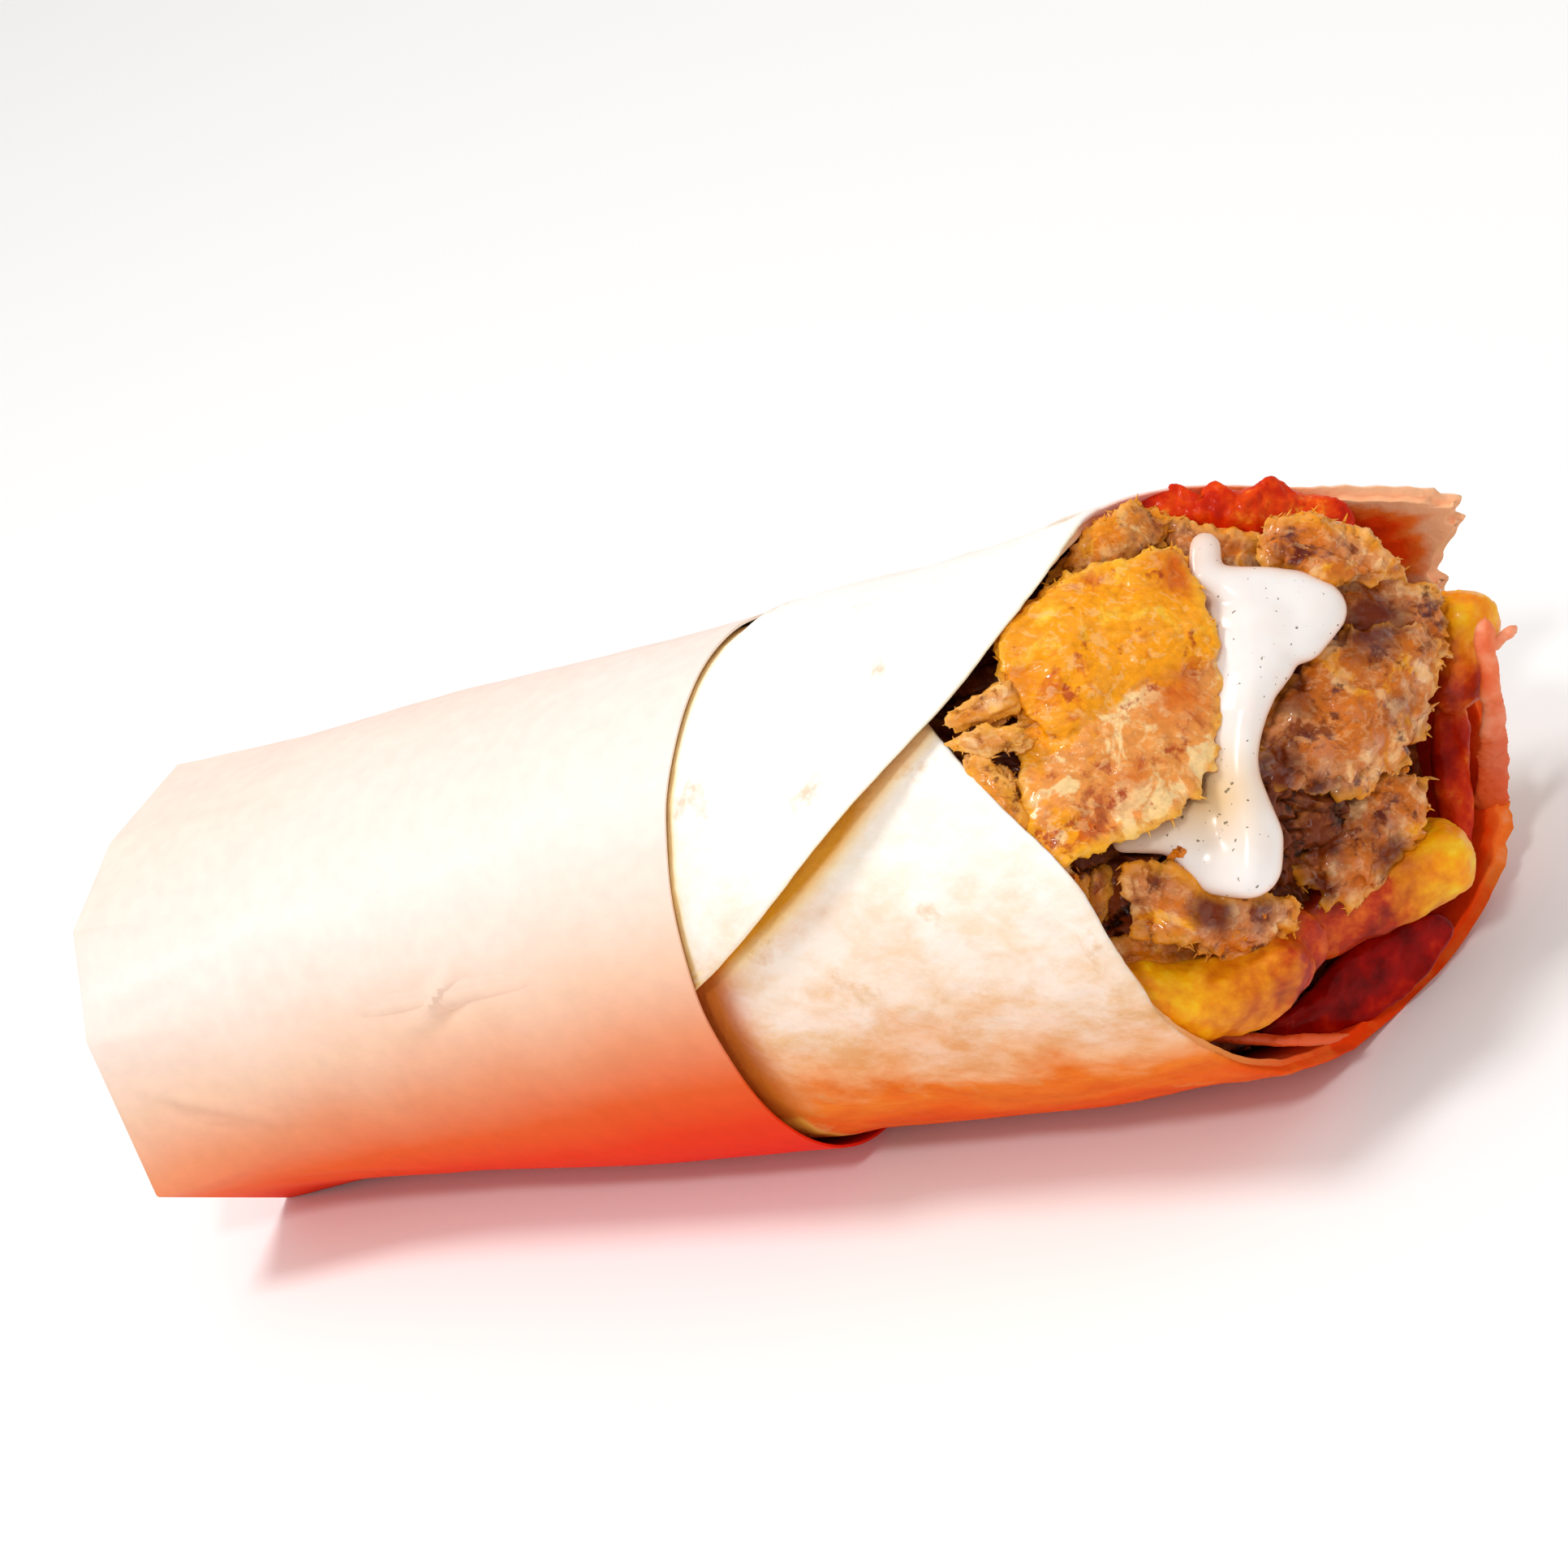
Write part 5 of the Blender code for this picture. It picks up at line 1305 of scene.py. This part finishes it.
def make_fries():
    sweep = fry_tree()
    steps = 40
    for number, (node, (start, end), width, depth, bend, end_painted_shade) in enumerate(FRIES):
        start, end = Vector(start), Vector(end)
        length = (end - start).length
        shares = [0.5 - 0.5 * math.cos(math.pi * i / steps) for i in range(steps + 1)]
        points, girth = [], []
        for s in shares:
            sag = 1 - (2 * s - 1) ** 2
            spot = start.lerp(end, s) + Vector((0, bend[0] * sag, bend[1] * sag))
            points.append(mouth_point(*spot))
            near = min(s, 1 - s) * length / 4.0
            girth.append(0.25 + 0.75 * math.sqrt(max(0.0, 1 - max(0.0, 1 - near) ** 2)))
        piece = new_piece("fried_" + node, points, [])
        mesh = piece.data
        mesh.edges.add(steps)
        for i, edge in enumerate(mesh.edges):
            edge.vertices = (i, i + 1)
        floats(piece, "girth", girth)
        grow(piece, sweep, Width=width, Depth=depth, Seed=11.0 * number)
        across, up = mouth_places(piece)
        run = end - start
        share = ((across - start.x) * run.x + (up - start.y) * run.y) / (run.x ** 2 + run.y ** 2)
        floats(piece, "end_painted_shade", end_painted_shade[0] + (end_painted_shade[1] - end_painted_shade[0]) * np.clip(share, 0, 1))
        dress(piece, "fried_potato", node)


make_fries()

# ---------------------------------------------------------------------------------- tomato
# Thin slices of ripe tomato, wet and smooth, with a slightly ragged cut edge. The slices that lie
# deeper are coloured a darker red, painted shade.


def tomato_flesh():
    made, tree, shader = new_material("ripe_tomato")
    patch = pattern(tree, 5.0, detail=5, rough=0.6)
    bright = ramp(tree, patch, ((0.34, "#b01402"), (0.48, "#d22a03"), (0.58, "#e84a08"), (0.66, "#f88c20")))
    deep = ramp(tree, patch, ((0.34, "#6a0101"), (0.55, "#a20801"), (0.72, "#d02a03")))
    # Painted shade: each slice mixes from bright red to deep red by how deep it lies.
    depth = add_node(tree, "ShaderNodeAttribute", attribute_name="depth")
    colour = blend_colour(tree, depth.outputs["Fac"], bright.outputs[0], deep.outputs[0])
    tree.links.new(colour, shader.inputs["Base Color"])
    fine = pattern(tree, 1.1, detail=4)
    bumps = add_node(tree, "ShaderNodeBump", {"Height": fine, "Strength": 0.35, "Distance": 0.25 * MM})
    tree.links.new(bumps.outputs[0], shader.inputs["Normal"])
    shader.inputs["Roughness"].default_value = 0.3
    shader.inputs["IOR"].default_value = 1.35
    shader.inputs["Specular IOR Level"].default_value = 0.12
    shader.inputs["Coat Weight"].default_value = 0.08
    shader.inputs["Coat Roughness"].default_value = 0.06
    shader.inputs["Subsurface Weight"].default_value = 0.3
    shader.inputs["Subsurface Radius"].default_value = (1.0, 0.25, 0.1)
    shader.inputs["Subsurface Scale"].default_value = 1.5 * MM
    return made


TOMATOES = (  # node, height out, slope, thickness, ragged edge, darker red as painted shade, outline
    ("tomato_lower", -3.5, (-0.20, 0.10), 3.6, 0.3, 1.0, (
        (14.0, -27.6), (19.5, -22.9), (24.5, -17.6), (31.0, -14.0), (36.6, -12.6), (38.8, -15.0),
        (34.6, -21.4), (28.5, -26.0), (21.5, -28.6))),
    ("tomato_right", -9.0, (-0.10, 0.02), 3.0, 0.4, 0.35, (
        (36.4, 11.4), (38.8, 15.0), (41.0, 12.0), (41.4, 5.4), (41.8, -1.3), (41.0, -6.4),
        (39.4, -8.4), (37.6, -3.3), (36.4, 4.0))),
    ("tomato_top", 1.5, (-0.10, -0.10), 3.8, 0.9, 0.0, (
        (-2.2, 36.4), (0.6, 38.6), (3.6, 39.8), (5.0, 39.0), (5.6, 36.4), (6.6, 38.6), (8.0, 40.2),
        (10.6, 39.2), (13.2, 39.8), (16.0, 40.8), (18.6, 39.0), (22.4, 38.4), (25.0, 37.4),
        (26.2, 34.0), (23.6, 30.6), (17.6, 31.4), (8.8, 33.6), (1.0, 34.8))),
)


def make_tomatoes():
    wet = relief_tree("tomato_relief", tomato_flesh())
    along, across = fibre_axes(80)
    for number, (node, out, slope, thickness, ragged, depth, outline) in enumerate(TOMATOES):
        shell = flat_shell(outline, out, slope, thickness, 0.4, ragged, number)
        piece = joined_piece("sliced_" + node, [shell])
        smooth = 0.4 if depth else 1.2
        grow(piece, wet, Along=along, Across=across, Out=tuple(MOUTH_FACING), Lumps=0.6 * smooth,
             Fibres=0.12 * smooth, Creases=0.12 * smooth, Crumb=0.08 * smooth, Tear=0.4 * smooth,
             Seed=5.1 * number)
        floats(piece, "depth", np.full(len(piece.data.vertices), depth))
        dress(piece, "tomato_flesh", node)


make_tomatoes()

# ---------------------------------------------------------------------------------- garlic sauce
# A thick pour of white garlic sauce between the two large slices: rounded lobes, a glossy skin, and
# specks of dried herb and pepper in it.

DROPS = (  # across, up, radius of each drop of the pour
    (6.2, 31.4, 2.0), (6.0, 29.2, 2.0), (6.6, 27.0, 2.5), (10.0, 26.0, 3.2), (13.5, 26.0, 3.2),
    (17.0, 25.4, 3.4), (19.4, 24.0, 3.7), (16.8, 21.4, 4.0), (13.4, 22.0, 4.5), (9.2, 22.0, 3.9),
    (9.0, 18.0, 3.6), (12.8, 18.2, 4.0), (10.8, 15.4, 3.8), (9.6, 12.4, 3.6), (8.8, 9.4, 3.5),
    (8.4, 6.4, 3.4), (8.6, 3.4, 3.5), (9.4, 0.2, 3.9), (10.4, -3.2, 4.3), (10.2, -6.0, 4.4),
    (7.0, -6.2, 3.8), (4.2, -4.0, 3.4), (5.6, -1.0, 3.4), (2.2, -2.6, 2.8), (-1.2, -3.2, 1.9),
    (-4.4, -3.8, 1.3),
)


def sauce_level(across, up):
    """The pour lies on the slices, and its left side dips under the large slice's torn edge."""
    slope = 0.34 if up > 12 else 0.15
    dip = 2.4 * smoothstep(11.5, 4.5, across) * smoothstep(28.5, 24.0, up)
    return 20.2 - 0.12 * (across - 8) - slope * (up - 12) - dip


def white_sauce():
    made, tree, shader = new_material("garlic_sauce")
    tone = ramp(tree, pattern(tree, 6.0, detail=2), ((0.3, "#f4e8e0"), (0.7, "#faf2ee")))
    # Painted shade: pinkish tan towards the low edges of the pour.
    painted_edge_shade = add_node(tree, "ShaderNodeAttribute", attribute_name="painted_edge_shade")
    tone = blend_colour(tree, painted_edge_shade.outputs["Fac"], tone.outputs[0], "#eab898")
    # A yellow-tan tint in the pour where it meets the large slice.
    tan_beside_large_slice = add_node(tree, "ShaderNodeAttribute", attribute_name="tan_beside_large_slice")
    tone = blend_colour(tree, tan_beside_large_slice.outputs["Fac"], tone, "#e6b868")
    specks = ramp(tree, pattern(tree, 0.7, detail=1), ((0.72, 0.0), (0.75, 0.8)))
    colour = blend_colour(tree, specks, tone, "#6e5a3e")
    tree.links.new(colour, shader.inputs["Base Color"])
    shader.inputs["Roughness"].default_value = 0.2
    shader.inputs["IOR"].default_value = 1.42
    shader.inputs["Subsurface Weight"].default_value = 0.35
    shader.inputs["Subsurface Radius"].default_value = (1.0, 0.7, 0.5)
    shader.inputs["Subsurface Scale"].default_value = 2.0 * MM
    return made


def pour_tree():
    """Melts a row of drops into one pour."""
    tree, given = new_tree("pour_sauce", Voxel=0.3, Smooth=6)
    drops = add_node(tree, "GeometryNodeMeshToPoints", {"Mesh": given.outputs["Geometry"],
                                                        "Radius": named(tree, "drop")})
    voxel = math_node(tree, "MULTIPLY", given.outputs["Voxel"], MM)
    cloud = add_node(tree, "GeometryNodePointsToVolume", {"Points": drops, "Density": 1.0,
                                                          "Radius": named(tree, "drop")},
                     resolution_mode="VOXEL_SIZE")
    tree.links.new(voxel, cloud.inputs["Voxel Size"])
    skin = add_node(tree, "GeometryNodeVolumeToMesh", {"Volume": cloud, "Threshold": 0.1})
    place = add_node(tree, "GeometryNodeInputPosition")
    blurred = add_node(tree, "GeometryNodeBlurAttribute", {"Value": place, "Iterations": 24},
                       data_type="FLOAT_VECTOR")
    tree.links.new(given.outputs["Smooth"], blurred.inputs["Iterations"])
    smooth = add_node(tree, "GeometryNodeSetPosition", {"Geometry": skin, "Position": blurred})
    end_tree(tree, smooth, white_sauce())
    return tree


def make_sauce():
    """The drops melt together lying flat, and the pour is then laid over the slices."""
    squash = 0.62
    centres = []
    for (u0, v0, r0), (u1, v1, r1) in zip(DROPS, DROPS[1:]):
        for k in range(3):
            s = k / 3
            near = math.hypot(u1 - u0, v1 - v0) < 4.5
            if k == 0 or near:
                centres.append((u0 + (u1 - u0) * s, v0 + (v1 - v0) * s, r0 + (r1 - r0) * s))
    centres.append(DROPS[-1])
    piece = new_piece("poured_sauce", [(u, v, 0) for u, v, r in centres], [], Vector((0, 0, 0)))
    floats(piece, "drop", [r * MM for u, v, r in centres])
    grow(piece, pour_tree(), Smooth=14)
    painted_edge_shade, tan_beside_large_slice = [], []
    for vertex in piece.data.vertices:
        u, v, h = vertex.co / MM
        level = sauce_level(u, v) + h * squash
        # Yellow-tan where the pour meets the large slice.
        tan_beside_large_slice.append(0.75 * bump(v, 2.0, 9.5) * smoothstep(15.0, 6.0, u))
        # Painted shade at the pour's low edges.
        painted_edge_shade.append(0.85 * smoothstep(3.0, 0.0, h))
        vertex.co = mouth_point(u, v, level) * MM + WRAP_ORIGIN
    floats(piece, "painted_edge_shade", painted_edge_shade)
    floats(piece, "tan_beside_large_slice", tan_beside_large_slice)
    return dress(piece, "garlic_sauce", "garlic_sauce")


make_sauce()

# ---------------------------------------------------------------------------------- crumbs
# A few crumbs of crisp meat that fell on the sauce, the fries and the lower slices, 0.5 to 1.6 mm across.

CRUMBS = (  # across, up and out of the mouth, and size
    (2.4, -4.8, 22.4, 1.3), (1.6, -5.4, 22.0, 0.9), (3.4, -5.8, 22.2, 0.7), (-10.0, -8.0, 24.0, 1.1),
    (24.6, 12.6, 11.6, 0.9), (27.6, 9.4, 10.6, 0.8), (20.6, 5.2, 12.8, 0.9), (31.0, 5.0, 7.4, 0.9),
    (9.0, -14.4, 21.0, 1.0), (12.6, -12.4, 19.6, 0.8), (26.0, -8.6, 7.4, 0.9), (17.8, 30.4, 13.0, 0.8),
)


def crumb_tree(material):
    """Sets a rough little pebble on every guide point, each turned its own way and as big as it says."""
    tree, given = new_tree("set_crumbs", Rough=0.35, Seed=4)
    pebble = add_node(tree, "GeometryNodeMeshIcoSphere", {"Radius": 0.5 * MM, "Subdivisions": 4})
    set_out = add_node(tree, "GeometryNodeInstanceOnPoints", {
        "Points": given.outputs["Geometry"], "Instance": pebble.outputs["Mesh"], "Scale": named(tree, "size")})
    spin = add_node(tree, "FunctionNodeRandomValue", {0: (0.0, 0.0, 0.0), 1: (6.28, 6.28, 6.28)},
                    data_type="FLOAT_VECTOR")
    tree.links.new(given.outputs["Seed"], spin.inputs["Seed"])
    turned = add_node(tree, "GeometryNodeRotateInstances", {"Instances": set_out, "Rotation": spin.outputs[0]})
    real = add_node(tree, "GeometryNodeRealizeInstances", {0: turned})
    place = vector_node(tree, "SCALE", add_node(tree, "GeometryNodeInputPosition").outputs[0], 1 / MM)
    lumps = math_node(tree, "SUBTRACT", tree_noise(tree, place, 0.6, detail=3.0), 0.5)
    push = math_node(tree, "MULTIPLY", math_node(tree, "MULTIPLY", lumps, given.outputs["Rough"]), 4 * MM)
    normal = add_node(tree, "GeometryNodeInputNormal").outputs[0]
    moved = add_node(tree, "GeometryNodeSetPosition", {
        "Geometry": real, "Offset": vector_node(tree, "SCALE", normal, push)})
    end_tree(tree, keep(tree, moved, "relief", 0.5), material)
    return tree


def make_crumbs():
    piece = new_piece("meat_crumbs", [mouth_point(*spot[:3]) for spot in CRUMBS], [])
    floats(piece, "size", [spot[3] for spot in CRUMBS])
    grow(piece, crumb_tree(CRISPED))
    return dress(piece, "seared_meat")


make_crumbs()

# ---------------------------------------------------------------------------------- floor, light, camera
# A pale plain floor under soft studio light. The camera looks down on the side that shows the mouth.

CAMERA_TURN, CAMERA_TILT, CAMERA_ROLL = 38.03, 30.0, -30.0
CAMERA_PLACE = Vector((416.5, -400.3, 341.5))
LENS = 106.42


def make_stage():
    mesh = bpy.data.meshes.new("studio_floor")
    reach = 3.0
    mesh.from_pydata([(-reach, -reach, 0), (reach, -reach, 0), (reach, reach, 0), (-reach, reach, 0)],
                     [], [(0, 1, 2, 3)])
    floor = bpy.data.objects.new("studio_floor", mesh)
    bpy.context.scene.collection.objects.link(floor)
    made, tree, shader = new_material("pale_studio_floor")
    shader.inputs["Base Color"].default_value = linear("#fbfaf9")
    shader.inputs["Roughness"].default_value = 0.8
    mesh.materials.append(made)


def add_light(name, place, aim, size, power, colour):
    light = bpy.data.lights.new(name, "AREA")
    light.shape = "DISK"
    light.size = size
    light.energy = power
    light.color = linear(colour)[:3]
    lamp = bpy.data.objects.new(name, light)
    bpy.context.scene.collection.objects.link(lamp)
    lamp.location = place
    lamp.rotation_euler = (Vector(aim) - Vector(place)).to_track_quat("-Z", "Y").to_euler()


make_stage()
add_light("soft_key", (-0.3, -0.15, 1.0), (0, 0, 0.03), 0.3, 4.6, "#ffffff")
add_light("front_light", (0.3, -0.62, 0.86), (0.06, 0, 0.04), 0.12, 2.4, "#ffffff")
world = bpy.data.worlds.new("studio_air")
bpy.context.scene.world = world
world.use_nodes = True
world.node_tree.nodes["Background"].inputs["Color"].default_value = linear("#ffffff")
world.node_tree.nodes["Background"].inputs["Strength"].default_value = 0.6
bpy.context.scene.view_settings.view_transform = "Standard"
bpy.context.scene.view_settings.look = "None"

eye = bpy.data.objects.new("camera", bpy.data.cameras.new("camera"))
bpy.context.scene.collection.objects.link(eye)
eye.data.lens = LENS
eye.data.sensor_width = 36.0
turn = Matrix.Rotation(math.radians(CAMERA_TURN), 4, "Z")
tilt = Matrix.Rotation(math.radians(90 - CAMERA_TILT), 4, "X")
roll = Matrix.Rotation(math.radians(CAMERA_ROLL), 4, "Z")
eye.matrix_world = Matrix.Translation(CAMERA_PLACE * MM + WRAP_ORIGIN) @ turn @ tilt @ roll
bpy.context.scene.camera = eye
